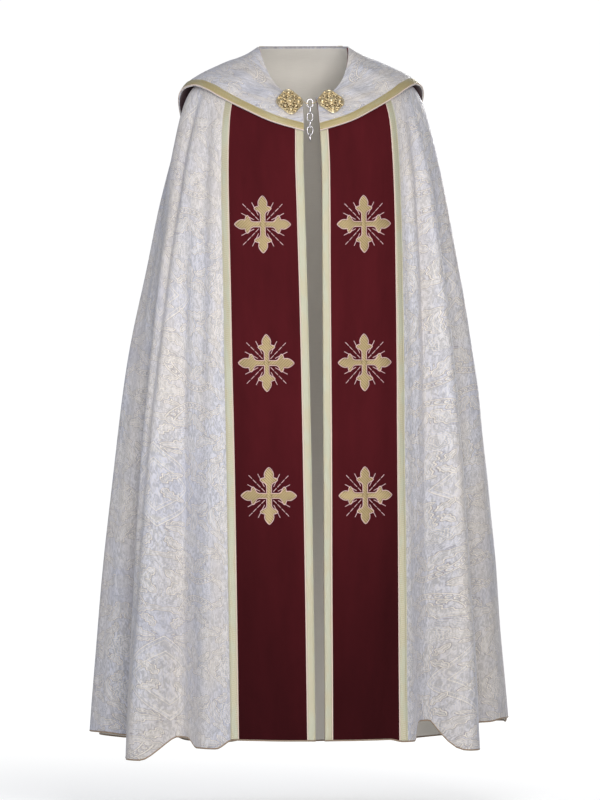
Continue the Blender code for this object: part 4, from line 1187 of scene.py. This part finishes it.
def velvet(cloth, tone):
    """Maroon pile, with painted shade that makes it darker towards the hem."""
    material, g, feed = new_material("maroon_velvet", roughness=0.95, specular_ior_level=0.10,
                                     sheen_weight=0.70, sheen_roughness=0.34,
                                     sheen_tint=(0.55, 0.045, 0.070, 1.0))
    place = g.cloth_place()
    streaks, clouds = g.use(tone, Place=place, Streak=16.0)
    pile = g.noise(place, 1500.0, 2.0, 0.7)
    nap = g.noise(place.scaled(1.0, 0.30, 1.0), 55.0, 4.0, 0.6)
    # Painted shade: the pile is made darker towards the hem, where less light falls.
    painted_hem_shade = 0.46 + place.axes()[1].steps(-1.45, -0.60) * 0.54
    shadow = 0.42 + streaks * 0.62 + clouds * 0.30 + nap * 0.26
    feed(bump=pile + nap * 1.2, strength=0.35, distance=0.0006,
         Base_Color=g.shaded(painted_hem_shade * shadow, cloth.velvet))
    return material


def braid(name, gold, silver, green):
    """A braid of two threads in a lattice, with greenish patches."""
    material, g, feed = new_material(name, metallic=0.15, specular_ior_level=0.5, sheen_weight=0.15)
    place = g.cloth_place()
    u, v, _ = place.axes()
    lattice = 2 * most(*((abs(u) * (1 / LATTICE_WIDE) + v * (sign / LATTICE_TALL)).fold(0.5)
                         for sign in (1, -1)))
    threads = (v * (2 * pi / BRAID_THREAD)).math("SINE")
    spark = g.noise(place, 1100.0, 1.0, 0.6)
    patch = g.noise(place.scaled(1.0, 0.3, 1.0), 60.0, 2.0)
    colour = g.mix(lattice.steps(0.55, 0.95), gold, silver)
    colour = g.mix(patch.steps(0.42, 0.60) * green, colour, (0.50, 0.53, 0.42))
    feed(bump=lattice + threads * 0.2 + spark * 0.5, strength=0.55, distance=0.0006,
         Base_Color=g.shaded(0.78 + spark * 0.42, colour), Roughness=0.42 + lattice * -0.12)
    return material


# ---------------------------------------------------------------- what the operators share

class Shop:
    """The lattices and finishes, made once and used by every operator."""
    mantle = None
    hood = None
    finishes = {}


def settings():
    scene = bpy.context.scene
    return scene.cope_cloth, scene.cope_trim, scene.cope_metal, scene.cope_stage


def whole_numbers(first, last):
    return np.arange(first, last + 1, dtype=float)


# ---------------------------------------------------------------- operators

class CopePrepare(bpy.types.Operator):
    """Work out the lattices of the mantle and the hood, and make the finishes"""
    bl_idname = "cope.prepare"
    bl_label = "Lattices and finishes"

    def execute(self, context):
        cloth, trim, metal, _ = settings()
        form = WornForm()
        Shop.mantle = mantle_cloth(form, cloth.crease_share)
        Shop.hood = hood_cloth(form, cloth.crease_share)
        Shop.finishes = make_materials(cloth, trim, metal)
        return {"FINISHED"}


class CopeStage(bpy.types.Operator):
    """Add the floor, the lights and the camera"""
    bl_idname = "cope.stage"
    bl_label = "Stage"

    def execute(self, context):
        stage = settings()[3]
        scene = context.scene
        low, high = CAD_BOX
        centre = (low + high) / 2
        self.floor(stage, low.z - stage.floor_drop)

        turn, rise = stage.azimuth, stage.elevation
        back = Vector((sin(turn) * cos(rise), -cos(turn) * cos(rise), sin(rise)))
        data = bpy.data.cameras.new("camera")
        data.lens = stage.lens
        data.clip_end = 200.0
        distance = (high.z - low.z) / stage.fill * stage.lens / data.sensor_width
        scene.camera = bpy.data.objects.new("camera", data)
        scene.camera.matrix_world = aimed(centre + back * distance, -back, "-Z")
        scene.collection.objects.link(scene.camera)

        for name, place, size, power, colour in (
                ("key_light", (0.10, -2.75, 0.20), 1.3, stage.key_power, (1.0, 0.985, 0.965)),
                ("fill_light", (-3.0, -2.0, 0.1), 2.4, stage.fill_power, (0.86, 0.90, 1.0)),
                ("back_light", (1.9, 3.8, 0.10), 1.8, stage.key_power * 1.5, (1.0, 0.98, 0.96))):
            light = bpy.data.lights.new(name, "AREA")
            light.size = size
            light.energy = power
            light.color = colour
            lamp = bpy.data.objects.new(name, light)
            lamp.matrix_world = aimed(place, centre - Vector(place), "-Z")
            scene.collection.objects.link(lamp)

        world = bpy.data.worlds.new("studio")
        world.use_nodes = True
        g = Graph(world.node_tree)
        glow = world.node_tree.nodes["Background"]
        seen = g.seen()
        g.feed(glow.inputs["Color"], g.mix(seen, (0.90, 0.94, 1.0), (1.0, 1.0, 1.0)))
        g.feed(glow.inputs["Strength"], stage.sky + seen * (1.02 - stage.sky))
        scene.world = world
        scene.view_settings.view_transform = "Standard"
        return {"FINISHED"}

    @staticmethod
    def floor(stage, height):
        """A pale disc that goes over into the glow of the sky."""
        work = bmesh.new()
        bmesh.ops.create_circle(work, cap_ends=True, segments=96, radius=60.0,
                                matrix=Matrix.Translation((0, 0, height)))
        floor = bpy.data.objects.new("studio_floor", finish_work(work, "studio_floor"))
        material, g, feed = new_material("studio_floor", roughness=0.9, emission_strength=1.0)
        far = g.object_place().length().steps(1.2, 3.2)
        seen = g.seen()
        glow = far * (stage.sky + seen * (1.0 - stage.sky)) + seen * (1 - far) * 0.30
        feed(Base_Color=g.mix(far, (0.90, 0.90, 0.90), (0.0, 0.0, 0.0)),
             Emission_Color=g.shaded(glow, (1.0, 1.0, 1.0)))
        floor.data.materials.append(material)
        bpy.context.scene.collection.objects.link(floor)


class CopeMantle(bpy.types.Operator):
    """Make the three brocade panels of the mantle, with their lining and hem binding"""
    bl_idname = "cope.mantle"
    bl_label = "Mantle"

    def execute(self, context):
        cloth, finishes = Shop.mantle, Shop.finishes
        rows = whole_numbers(0, MANTLE_ROWS)
        left_seam, right_seam = MANTLE_CENTRE - SEAM_STEP, MANTLE_CENTRE + SEAM_STEP
        right_band = MANTLE_LAST - BAND_STEPS
        panels = {
            "left": (BAND_STEPS, left_seam, BAND_STEPS, (0.66, 1.50), 0.61),
            "back": (left_seam, right_seam, MANTLE_CENTRE, (1.25, 1.56), 1.24),
            "right": (right_seam, right_band, right_band, (0.66, 1.50), 0.61),
        }
        for side, (first, last, grain, flat, area) in panels.items():
            panel = lay(f"mantle_{side}_brocade", cloth, whole_numbers(first, last), rows, 0.0, MANTLE_WALL,
                        [finishes["brocade"], finishes["lining"]], grain=grain, lined=True)
            finish_piece(panel, BODY, f"mantle_{side}", slot="brocade")
            edge = hem_edge(f"hem_binding_{side}_edge", cloth, first, last)
            finish_piece(edge, BODY, f"hem_binding_{side}", slot="binding")
        return {"FINISHED"}


def hem_edge(name, cloth, first, last):
    """A narrow binding rolled over the hem."""
    columns = whole_numbers(first, last)
    row = np.full(columns.shape, float(cloth.last_row))
    middle = cloth.at(columns, row, MANTLE_WALL / 2) - np.array([0, 0, BINDING_RADIUS])
    return mesh_piece(name, wires([middle], BINDING_RADIUS), [Shop.finishes["binding_round"]])


class CopeOrphreys(bpy.types.Operator):
    """Make the two velvet orphreys with their braids and lower edges"""
    bl_idname = "cope.orphreys"
    bl_label = "Orphreys"

    def execute(self, context):
        cloth, finishes = Shop.mantle, Shop.finishes
        rows = whole_numbers(0, MANTLE_ROWS)
        braid_rows = np.linspace(BRAID_STARTS * MANTLE_ROWS, MANTLE_ROWS, BRAID_ROWS)
        for side, front, inward in (("left", 0, 1), ("right", MANTLE_LAST, -1)):
            back = front + inward * BAND_STEPS
            first, last = sorted((front, back))
            band = lay(f"orphrey_{side}_velvet", cloth, whole_numbers(first, last), rows, 0.0, MANTLE_WALL,
                       [finishes["velvet"], finishes["lining"]], grain=back, lined=True)
            finish_piece(band, BODY, f"orphrey_{side}", slot="velvet")
            trims = []
            for edge, outer, step, node in (("front", front, BRAID_STEPS, "inner"),
                                            ("side", back, -BRAID_STEPS, "outer")):
                trim = braid_along(f"orphrey_{side}_{edge}_braid", cloth, outer + inward * step, outer,
                                   braid_rows, MANTLE_WALL + GAP, finishes["braid"])
                trims.append(finish_piece(trim, BODY, f"galloon_{node}_{side}", slot="galloon"))
            edge = hem_edge(f"orphrey_{side}_lower_edge", cloth, first, last)
            finish_piece(edge, BODY, f"orphrey_binding_{side}", slot="binding")
            trims + [edge]
        return {"FINISHED"}


# How high a braid stands at a share of the way from its piping to its far edge
BraidPoint = namedtuple("BraidPoint", "share height")
BRAID_PROFILE = table(
    BraidPoint,
    (0.00, 0.0006), (0.03, 0.0016), (0.07, 0.0018), (0.11, 0.0014), (0.14, 0.0006),
    (0.19, 0.0012), (0.34, 0.0014), (0.50, 0.0012), (0.66, 0.0014), (0.83, 0.0012),
    (0.89, 0.0007), (0.93, 0.0013), (0.97, 0.0013), (1.00, 0.0006),
)
PIPING_SHARE = 0.135


def braid_profile(flipped):
    """Shares of a braid's width, its height at them, and which strips between them are piping."""
    shares = np.array([point.share for point in BRAID_PROFILE])
    heights = np.array([point.height for point in BRAID_PROFILE])
    corded = (shares[1:] + shares[:-1]) / 2 < PIPING_SHARE
    if flipped:
        return 1 - shares[::-1], heights[::-1], corded[::-1]
    return shares, heights, corded


def braid_along(name, cloth, velvet, outer, rows, base, finish):
    """A braid down the cloth, whose piping lies at the velvet's column."""
    shares, heights, corded = braid_profile(outer < velvet)
    low, high = sorted((velvet, outer))
    return lay(name, cloth, low + (high - low) * shares, rows, base, heights[:, None],
               [finish, Shop.finishes["piping"]], grain=velvet, corded=corded)


class CopeHood(bpy.types.Operator):
    """Make the hood with its velvet panel, braids and lining"""
    bl_idname = "cope.hood"
    bl_label = "Hood"

    def execute(self, context):
        cloth, finishes = Shop.hood, Shop.finishes
        last, centre, edge = cloth.last_column, HOOD_CENTRE, HOOD_ROWS
        hood = lay("hood_brocade", cloth, whole_numbers(0, last), whole_numbers(0, cloth.last_row), 0.0,
                   HOOD_WALL, [finishes["brocade"], finishes["hood_lining"]], grain=centre, lined=True)
        finish_piece(hood, BODY, "hood", slot="brocade")
        base = HOOD_WALL + GAP
        rows = whole_numbers(0, edge)
        columns = whole_numbers(centre - PANEL_STEPS, centre + PANEL_STEPS)
        panel = lay("hood_panel_velvet", cloth, columns, rows, base, PANEL_WALL, [finishes["velvet"]],
                    grain=centre)
        finish_piece(panel, BODY, "hood_panel", slot="velvet")
        shares, heights, corded = braid_profile(True)
        for side, sign in (("left", -1), ("right", 1)):
            start, stop = centre + sign * PANEL_STEPS, centre + sign * (PANEL_STEPS + PANEL_BRAID_STEPS)
            trim = braid_along(f"hood_panel_{side}_braid", cloth, start, stop, rows, base,
                               finishes["hood_braid"])
            finish_piece(trim, BODY, f"panel_galloon_{side}", slot="galloon")
            columns = whole_numbers(0, centre) if sign < 0 else whole_numbers(centre, last)
            trim = lay(f"hood_edge_{side}_braid", cloth, columns, edge + HOOD_BRAID_ROWS * shares, base,
                       heights, [finishes["hood_braid"], finishes["piping"]], corded=corded)
            finish_piece(trim, BODY, f"hood_galloon_{side}", slot="galloon")
        return {"FINISHED"}


# ---------------------------------------------------------------- embroidery

def arm_outline():
    """Points up one side of an arm and down the other."""
    up = [Vector((point.half, point.along, 0)) for point in CROSS_ARM]
    return up + [Vector((-point.x, point.y, 0)) for point in reversed(up[:-1])]


def cut_along(work, direction, places):
    """Cut all faces by parallel lines across a direction."""
    for place in places:
        geometry = work.verts[:] + work.edges[:] + work.faces[:]
        bmesh.ops.bisect_plane(work, geom=geometry, dist=1e-7, plane_co=direction * place, plane_no=direction)


def stitched_arm(work, outline, angle):
    """Fill an outline with couched cords that run across a direction."""
    part = bmesh.new()
    part.faces.new([part.verts.new(point) for point in outline])
    direction = on_circle(1, angle)
    reach = [direction.dot(point) for point in outline]
    first, last = int(min(reach) / STITCH_PITCH) - 1, int(max(reach) / STITCH_PITCH) + 1
    cut_along(part, direction, [(number + STITCH_SHARE * step / STITCH_STEPS) * STITCH_PITCH
                                for number in range(first, last + 1) for step in range(STITCH_STEPS + 1)])
    cut_along(part, on_circle(1, angle + pi / 2), [CORD_STEP * number for number in range(-20, 21)])
    bmesh.ops.triangulate(part, faces=[face for face in part.faces if len(face.verts) > 4])
    sides = [(start, end - start) for start, end in zip(outline, outline[1:] + outline[:1])]

    def off_outline(point):
        nearest = 1.0
        for start, side in sides:
            share = min(max((point - start).dot(side) / side.length_squared, 0.0), 1.0)
            nearest = min(nearest, (point - start - side * share).length)
        return nearest

    for face in part.faces:
        middle = direction.dot(face.calc_center_median()) / STITCH_PITCH % 1
        face.material_index = 0 if middle < STITCH_SHARE else 1
    grown = bmesh.ops.extrude_face_region(part, geom=part.faces[:], use_keep_orig=True)
    for item in grown["geom"]:
        if isinstance(item, bmesh.types.BMVert):
            rise = 1 - min(off_outline(item.co) / CROSS_SHOULDER, 1.0)
            share = direction.dot(item.co) / STITCH_PITCH % 1 / STITCH_SHARE * 2 - 1
            cord = (1 - share * share) ** 0.5 if abs(share) < 0.999 else 0.0
            item.co.z = CROSS_BACKING + CROSS_CROWN * (1 - rise * rise) ** 0.5 + STITCH_RELIEF * cord
    bmesh.ops.recalc_face_normals(part, faces=part.faces[:])
    settle(part)
    add_mesh(work, finish_work(part, "arm"))


def cross_design():
    """The embroidered cross, flat: x to the right, y up and z out of the cloth."""
    work = bmesh.new()
    arm = arm_outline()
    stitched_arm(work, arm + [Vector((-point.x, -point.y, 0)) for point in arm], radians(45))
    for turn in (-1, 1):
        stitched_arm(work, [Vector((turn * point.y, -turn * point.x, 0)) for point in arm], radians(-45))
    line, dashes = [], []
    for quarter in range(4):
        turn = Matrix.Rotation(-quarter * pi / 2, 3, "Z")
        line += [turn @ point for point in arm[::-1]]
        for ray in RAYS:
            direction = on_circle(1, radians(ray.angle) + quarter * pi / 2)
            length = (ray.ends - ray.starts - RAY_GAP * (ray.dashes - 1)) / ray.dashes
            for dash in range(ray.dashes):
                start = ray.starts + (length + RAY_GAP) * dash
                dashes.append([direction * (start + length * share) + Vector((0, 0, RAY_RADIUS * height))
                               for share, height in RAY_PROFILE])
    height = Vector((0, 0, OUTLINE_RADIUS * 0.9 + CROSS_BACKING))
    outline = [point + height for point in even_points(line, OUTLINE_STEP)]
    add_mesh(work, wires([outline], OUTLINE_RADIUS, closed=True, resolution=1), index=2)
    add_mesh(work, wires(dashes, RAY_RADIUS, resolution=1), index=2)
    return finish_work(work, "cross_design")


def even_points(line, step):
    """A closed line again, with its points about a step apart."""
    points = []
    for start, end in zip(line, line[1:] + line[:1]):
        count = max(1, round((end - start).length / step))
        points += [start.lerp(end, number / count) for number in range(count)]
    return points


class CopeCrosses(bpy.types.Operator):
    """Embroider three crosses on each orphrey and one on the hood"""
    bl_idname = "cope.crosses"
    bl_label = "Crosses"

    def execute(self, context):
        design = cross_design()
        mantle, hood = Shop.mantle, Shop.hood
        middle = BRAID_STEPS + VELVET_STEPS / 2
        for side, column in (("left", middle), ("right", MANTLE_LAST - middle)):
            for number, height in enumerate(FRONT_CROSS_HEIGHTS, start=1):
                row = mantle.row_at_height(column, height)
                x = float(mantle.at([column], [row])[0, 0])
                self.sew(design, f"cross_{side}_{number}_stitched", mantle, x, height, column, row,
                         MANTLE_WALL + CROSS_LIFT, f"cross_{side}_{number}", FRONT_CROSS_SCALE)
        row = hood.row_at_height(HOOD_CENTRE, BACK_CROSS_HEIGHT)
        self.sew(design, "cross_back_stitched", hood, 0.0, BACK_CROSS_HEIGHT, HOOD_CENTRE, row,
                 HOOD_WALL + GAP + PANEL_WALL, "cross_back")
        bpy.data.meshes.remove(design)
        return {"FINISHED"}

    @staticmethod
    def sew(design, name, cloth, x, z, column, row, lift, node, scale=(1, 1)):
        """Lay the flat design on a cloth, seen upright from in front of it."""
        mesh = design.copy()
        mesh.name = name
        place = np.array([vert.co for vert in mesh.vertices])
        facing = 1 if cloth.at([column], [row])[0, 1] < 0 else -1
        columns, rows = cloth.find(x + facing * scale[0] * place[:, 0], z + scale[1] * place[:, 1],
                                   column, row)
        sewn = cloth.at(columns, rows, lift + place[:, 2])
        mesh.vertices.foreach_set("co", sewn.astype(np.float32).ravel())
        mesh.update()
        threads = [Shop.finishes[thread] for thread in ("gold_thread", "gap_thread", "pale_thread")]
        finish_piece(mesh_piece(name, mesh, threads, sharp=60.0), BODY, node, slot="gold_thread")


# ---------------------------------------------------------------- metalwork

def loop(centre, radius, height, steps=20, squash=1.0, turn=0.0):
    """A closed ring of points, longer along its turn when squash is under 1."""
    turned = Matrix.Rotation(turn, 3, "Z") @ Matrix.Diagonal((1, squash, 1))
    middle = Vector((*centre, height))
    return [middle + turned @ on_circle(radius, 2 * pi * step / steps) for step in range(steps)]


# The wire loops and the beads of a quarter of a rosette
RosetteLoop = namedtuple("RosetteLoop", "centre radius height squash turn")
ROSETTE_LOOPS = table(
    RosetteLoop,
    ((0.0185, 0.0), 0.0062, 0.0021, 0.86, 0.0),
    ((0.0185, 0.0), 0.0034, 0.0024, 0.9, 0.0),
    ((0.0122, 0.0122), 0.0056, 0.0026, 0.8, pi / 4),
    ((0.0098, 0.0), 0.0040, 0.0034, 0.7, 0.0),
    ((0.0185, 0.0082), 0.0026, 0.0018, 1.0, 0.0),
    ((0.0185, -0.0082), 0.0026, 0.0018, 1.0, 0.0),
)
RosetteBead = namedtuple("RosetteBead", "eighths distance height radius")
ROSETTE_BEADS = table(
    RosetteBead,
    (0, 0.0190, 0.0040, 0.0032),
    (1, 0.0165, 0.0040, 0.0028),
    (0.5, 0.0108, 0.0044, 0.0018),
    (1.5, 0.0108, 0.0044, 0.0018),
    (0.5, 0.90 * CLASP_RADIUS, 0.0026, 0.0020),
    (1.5, 0.90 * CLASP_RADIUS, 0.0026, 0.0020),
)
BOSS_BEADS = 14              # small beads in a ring round the boss


def lobed_ring(share, height):
    """A ring of points round the rosette's lobed outline, at a share of its radius."""
    angles = [2 * pi * step / 96 for step in range(96)]
    return [on_circle(CLASP_RADIUS * share * (1 + CLASP_LOBE * cos(4 * angle)), angle, height)
            for angle in angles]


def rosette():
    """A filigree rosette facing +Z: lobed rim, wire loops, beads, a boss and a back disc, whose dark colour
    is painted shade in the gaps between the wires.
    """
    work = bmesh.new()
    add_mesh(work, wires([lobed_ring(0.955, 0.0012)], 0.0011, closed=True))
    add_mesh(work, wires([lobed_ring(0.86, 0.0016)], 0.0007, closed=True, resolution=1))
    loops = []
    for quarter in range(4):
        angle = quarter * pi / 2
        for ring in ROSETTE_LOOPS:
            place = Matrix.Rotation(angle, 2) @ Vector(ring.centre)
            loops.append(loop(place, ring.radius, ring.height, squash=ring.squash, turn=ring.turn + angle))
        for item in ROSETTE_BEADS:
            bead(work, on_circle(item.distance, angle + item.eighths * pi / 4, item.height), item.radius)
    add_mesh(work, wires(loops, 0.00095, closed=True, resolution=1))
    add_mesh(work, wires([loop((0, 0), 0.0075, 0.0042, steps=32)], 0.0010, closed=True))
    for place in loop((0, 0), 0.0058, 0.0054, steps=BOSS_BEADS):
        bead(work, place, 0.0012)
    bead(work, (0, 0, 0.0058), 0.0046, flat=0.8)
    bmesh.ops.create_cone(work, cap_ends=True, segments=32, radius1=0.0078, radius2=0.0062, depth=0.0036,
                          matrix=Matrix.Translation((0, 0, 0.0024)))
    # The back disc takes the second finish, a dark colour that paints the shade in the gaps between the
    # wires.
    back = bmesh.new()
    radius = 0.90 * CLASP_RADIUS
    bmesh.ops.create_cone(back, cap_ends=True, segments=96, radius1=radius, radius2=radius, depth=0.0006,
                          matrix=Matrix.Translation((0, 0, 0.0004)))
    add_mesh(work, finish_work(back, "rosette_back"), index=1)
    bmesh.ops.scale(work, vec=(1, CLASP_TALL, 1), verts=work.verts[:])
    return work


class CopeClasp(bpy.types.Operator):
    """Make the two filigree rosettes, the eye, the hook and the chain"""
    bl_idname = "cope.clasp"
    bl_label = "Clasp and chain"

    def execute(self, context):
        finishes = Shop.finishes
        ends = []
        for side, sign in (("left", -1), ("right", 1)):
            seat = self.seat(Shop.hood, sign * CLASP_X)
            name = f"clasp_{side}_rosette"
            plate = mesh_piece(name, finish_work(rosette(), name, seat),
                               [finishes["gilt"], finishes["patina"]])
            finish_piece(plate, BODY, f"clasp_plate_{side}", f"clasp_boss_{side}", slot="gilt_metal")
            reach = CLASP_RADIUS * (1 + CLASP_LOBE) + CLASP_SHANK / 2 + GAP
            sides = [seat @ Vector((way * reach, 0, CLASP_PLATE / 2)) for way in (-1, 1)]
            ends.append(min(sides, key=lambda end: abs(end.x)))
        self.chain(ends)
        return {"FINISHED"}

    @staticmethod
    def seat(hood, x):
        """The rosette's frame on the hood, facing out of the cloth."""
        guess = hood.last_column - 10.0 if x > 0 else 10.0
        column, row = hood.find([x], [CLASP_HEIGHT], guess, 9.0)
        point = Vector(hood.at(column, row, HOOD_WALL)[0])
        outward = (Vector(hood.at(column, row, HOOD_WALL + 0.001)[0]) - point).normalized()
        return aimed(point + outward * (CLASP_SEAT + GAP), outward)

    @staticmethod
    def chain(ends):
        """The links, and the eye and the hook that hold the top one."""
        finishes = Shop.finishes
        half_outside = LINK_INNER_LENGTH / 2 + LINK_WIRE
        first = Vector((0, CHAIN_DEPTH, CHAIN_TOP - half_outside))
        end = (LINK_WIDTH - LINK_WIRE) / 2
        straight = (LINK_INNER_LENGTH + LINK_WIRE) / 2 - end
        for number in range(LINK_COUNT):
            place = first - Vector((0, 0, (LINK_INNER_LENGTH - GAP) * number))
            turn = Matrix.Rotation(pi / 2 * (number % 2), 3, "Z")
            points = []
            for middle, start in ((straight, 0.0), (-straight, pi)):
                for step in range(LINK_END_POINTS):
                    angle = start + pi * step / (LINK_END_POINTS - 1)
                    points.append(place + turn @ Vector((end * cos(angle), 0, middle + end * sin(angle))))
            name = f"chain_link_{number + 1}"
            link = mesh_piece(f"{name}_wire", wires([points], LINK_WIRE / 2, closed=True, resolution=3),
                              [finishes["silver"]])
            finish_piece(link, BODY if number == 0 else TAIL, name, slot="silvered_metal")
        for name, side, start in zip(("clasp_eye_left", "clasp_hook_right"), (-1, 1), ends):
            middle = Vector((side * (end + CLASP_RING_OFFSET), first.y, first.z))
            ring_start = middle + Vector((side * CLASP_RING_RADIUS, 0, 0))
            points = [start.lerp(ring_start, step / 4) for step in range(4)]
            for step in range(CLASP_RING_POINTS):
                angle = CLASP_RING_SWEEP * step / (CLASP_RING_POINTS - 1)
                points.append(middle + Vector((side * cos(angle), sin(angle), 0)) * CLASP_RING_RADIUS)
            ring = mesh_piece(f"{name}_wire", wires([points], CLASP_SHANK / 2, resolution=3),
                              [finishes["gilt"]])
            finish_piece(ring, BODY, name, slot="gilt_metal")


# ---------------------------------------------------------------- tassel

class CopeTassel(bpy.types.Operator):
    """Make the tassel's cord, wound head and skirt of threads"""
    bl_idname = "cope.tassel"
    bl_label = "Tassel"

    def execute(self, context):
        hood, mantle, finishes = Shop.hood, Shop.mantle, Shop.finishes
        tip = Vector(hood.at([HOOD_CENTRE], [hood.last_row], [HOOD_WALL / 2])[0])

        def on_back(height):
            row = mantle.row_at_height(MANTLE_CENTRE, height)
            return Vector(mantle.at([MANTLE_CENTRE], [row])[0]) + Vector((0, TASSEL_OFF_CLOTH, 0))

        top = on_back(tip.z - TASSEL_DROP)
        lean = (on_back(top.z - TASSEL_HEAD_LENGTH - TASSEL_SKIRT_LENGTH) - top).normalized()
        start = tip - Vector((0, 0, GAP + TASSEL_CORD * 0.2))
        points = [start.lerp(top, step / 6) for step in range(7)]
        core = TASSEL_HEAD_LENGTH + TASSEL_CORE
        points += [top + lean * core * step / 12 for step in range(1, 13)]
        cord = wire_curve("tassel_cord_silk", [points], TASSEL_CORD / 2, resolution=3)
        cord.materials.append(finishes["tassel_head"])
        silk = bpy.data.objects.new("tassel_cord_silk", cord)
        finish_piece(silk, BODY, "tassel_cord", slot="gold_thread")
        place = aimed(top, -lean)
        parts = (("tassel_head_wound", self.head(), "tassel_head", "tassel_head"),
                 ("tassel_skirt_threads", self.skirt(), "tassel", "tassel_skirt"))
        head, skirt = (finish_piece(mesh_piece(name, finish_work(work, name, place), [finishes[finish]]),
                                    BODY, node, slot="gold_thread") for name, work, finish, node in parts)
        length = sum((b - a).length for a, b in zip(points, points[1:]))
        return {"FINISHED"}

    @staticmethod
    def head():
        """A bullet-shaped head wound with upright threads, and a collar of three turns below it."""
        work = bmesh.new()
        core = [(0.0, 0.0), *TASSEL_PROFILE, (0.0, -TASSEL_HEAD_LENGTH)]
        verts = [work.verts.new((radius * 0.95, 0, height)) for radius, height in core]
        edges = [work.edges.new(pair) for pair in zip(verts, verts[1:])]
        bmesh.ops.spin(work, geom=verts + edges, axis=(0, 0, 1), cent=(0, 0, 0), steps=32, angle=2 * pi,
                       use_merge=True)
        bmesh.ops.remove_doubles(work, verts=work.verts[:], dist=1e-6)
        bmesh.ops.recalc_face_normals(work, faces=work.faces[:])
        settle(work)
        threads = [[on_circle(radius, 2 * pi * number / TASSEL_WINDINGS + TASSEL_SLANT * height, height)
                    for radius, height in TASSEL_PROFILE] for number in range(TASSEL_WINDINGS)]
        add_mesh(work, wires(threads, 0.00050, resolution=1))
        rings = [loop((0, 0), 0.0084, -TASSEL_HEAD_LENGTH + 0.0009 + 0.0011 * turn, steps=32)
                 for turn in range(3)]
        add_mesh(work, wires(rings, 0.0006, closed=True, resolution=1))
        return work

    @staticmethod
    def skirt():
        """Hanging threads that spread out and lie flat against the mantle."""
        draw = np.random.default_rng(7)
        top = -TASSEL_HEAD_LENGTH - GAP
        threads = []
        for number in range(TASSEL_THREADS):
            angle = GOLDEN_TURN * number
            share = ((number + 0.5) / TASSEL_THREADS) ** 0.5
            wave, drift = draw.uniform(0, 2 * pi), draw.normal(0, 0.0010)
            end = TASSEL_SKIRT_LENGTH * (0.975 + 0.025 * draw.uniform(-1, 1))
            points = []
            for step in range(9):
                fall = step / 8
                spread = 0.0074 + (TASSEL_SKIRT_HALF_WIDTH - 0.0088) * fall**0.75
                flat = 1 - (1 - TASSEL_SKIRT_FLATNESS) * float(smooth(fall * 1.6))
                sway = 0.0007 * fall * sin(wave + 5 * fall)
                x = share * spread * cos(angle) + drift * fall + sway
                y = share * spread * flat * sin(angle) + sway * 0.5
                points.append(Vector((x, y, top - end * fall)))
            threads.append(points)
        work = bmesh.new()
        add_mesh(work, wires(threads, 0.00062, resolution=0))
        return work


class CopePanel(bpy.types.Panel):
    """The cope's settings and the operators that build it"""
    bl_idname = "COPE_PT_panel"
    bl_label = "Cope"
    bl_space_type = "VIEW_3D"
    bl_region_type = "UI"
    bl_category = "Cope"

    def draw(self, context):
        for operator in OPERATORS:
            self.layout.operator(operator.bl_idname)
        for group in settings():
            box = self.layout.box()
            for name in group.__annotations__:
                box.prop(group, name)


OPERATORS = (CopePrepare, CopeStage, CopeTassel, CopeMantle, CopeOrphreys, CopeHood, CopeCrosses, CopeClasp)
GROUPS = {"cope_cloth": CopeClothSettings, "cope_trim": CopeTrimSettings, "cope_metal": CopeMetalSettings,
          "cope_stage": CopeStageSettings}


def register():
    for made in (*GROUPS.values(), *OPERATORS, CopePanel):
        bpy.utils.register_class(made)
    for name, group in GROUPS.items():
        setattr(bpy.types.Scene, name, bpy.props.PointerProperty(type=group))


def unregister():
    for name in GROUPS:
        delattr(bpy.types.Scene, name)
    for made in (CopePanel, *reversed(OPERATORS), *reversed(tuple(GROUPS.values()))):
        bpy.utils.unregister_class(made)


def main():
    register()
    for operator in OPERATORS:
        group, name = operator.bl_idname.split(".")
        getattr(getattr(bpy.ops, group), name)()


if __name__ == "__main__":
    main()
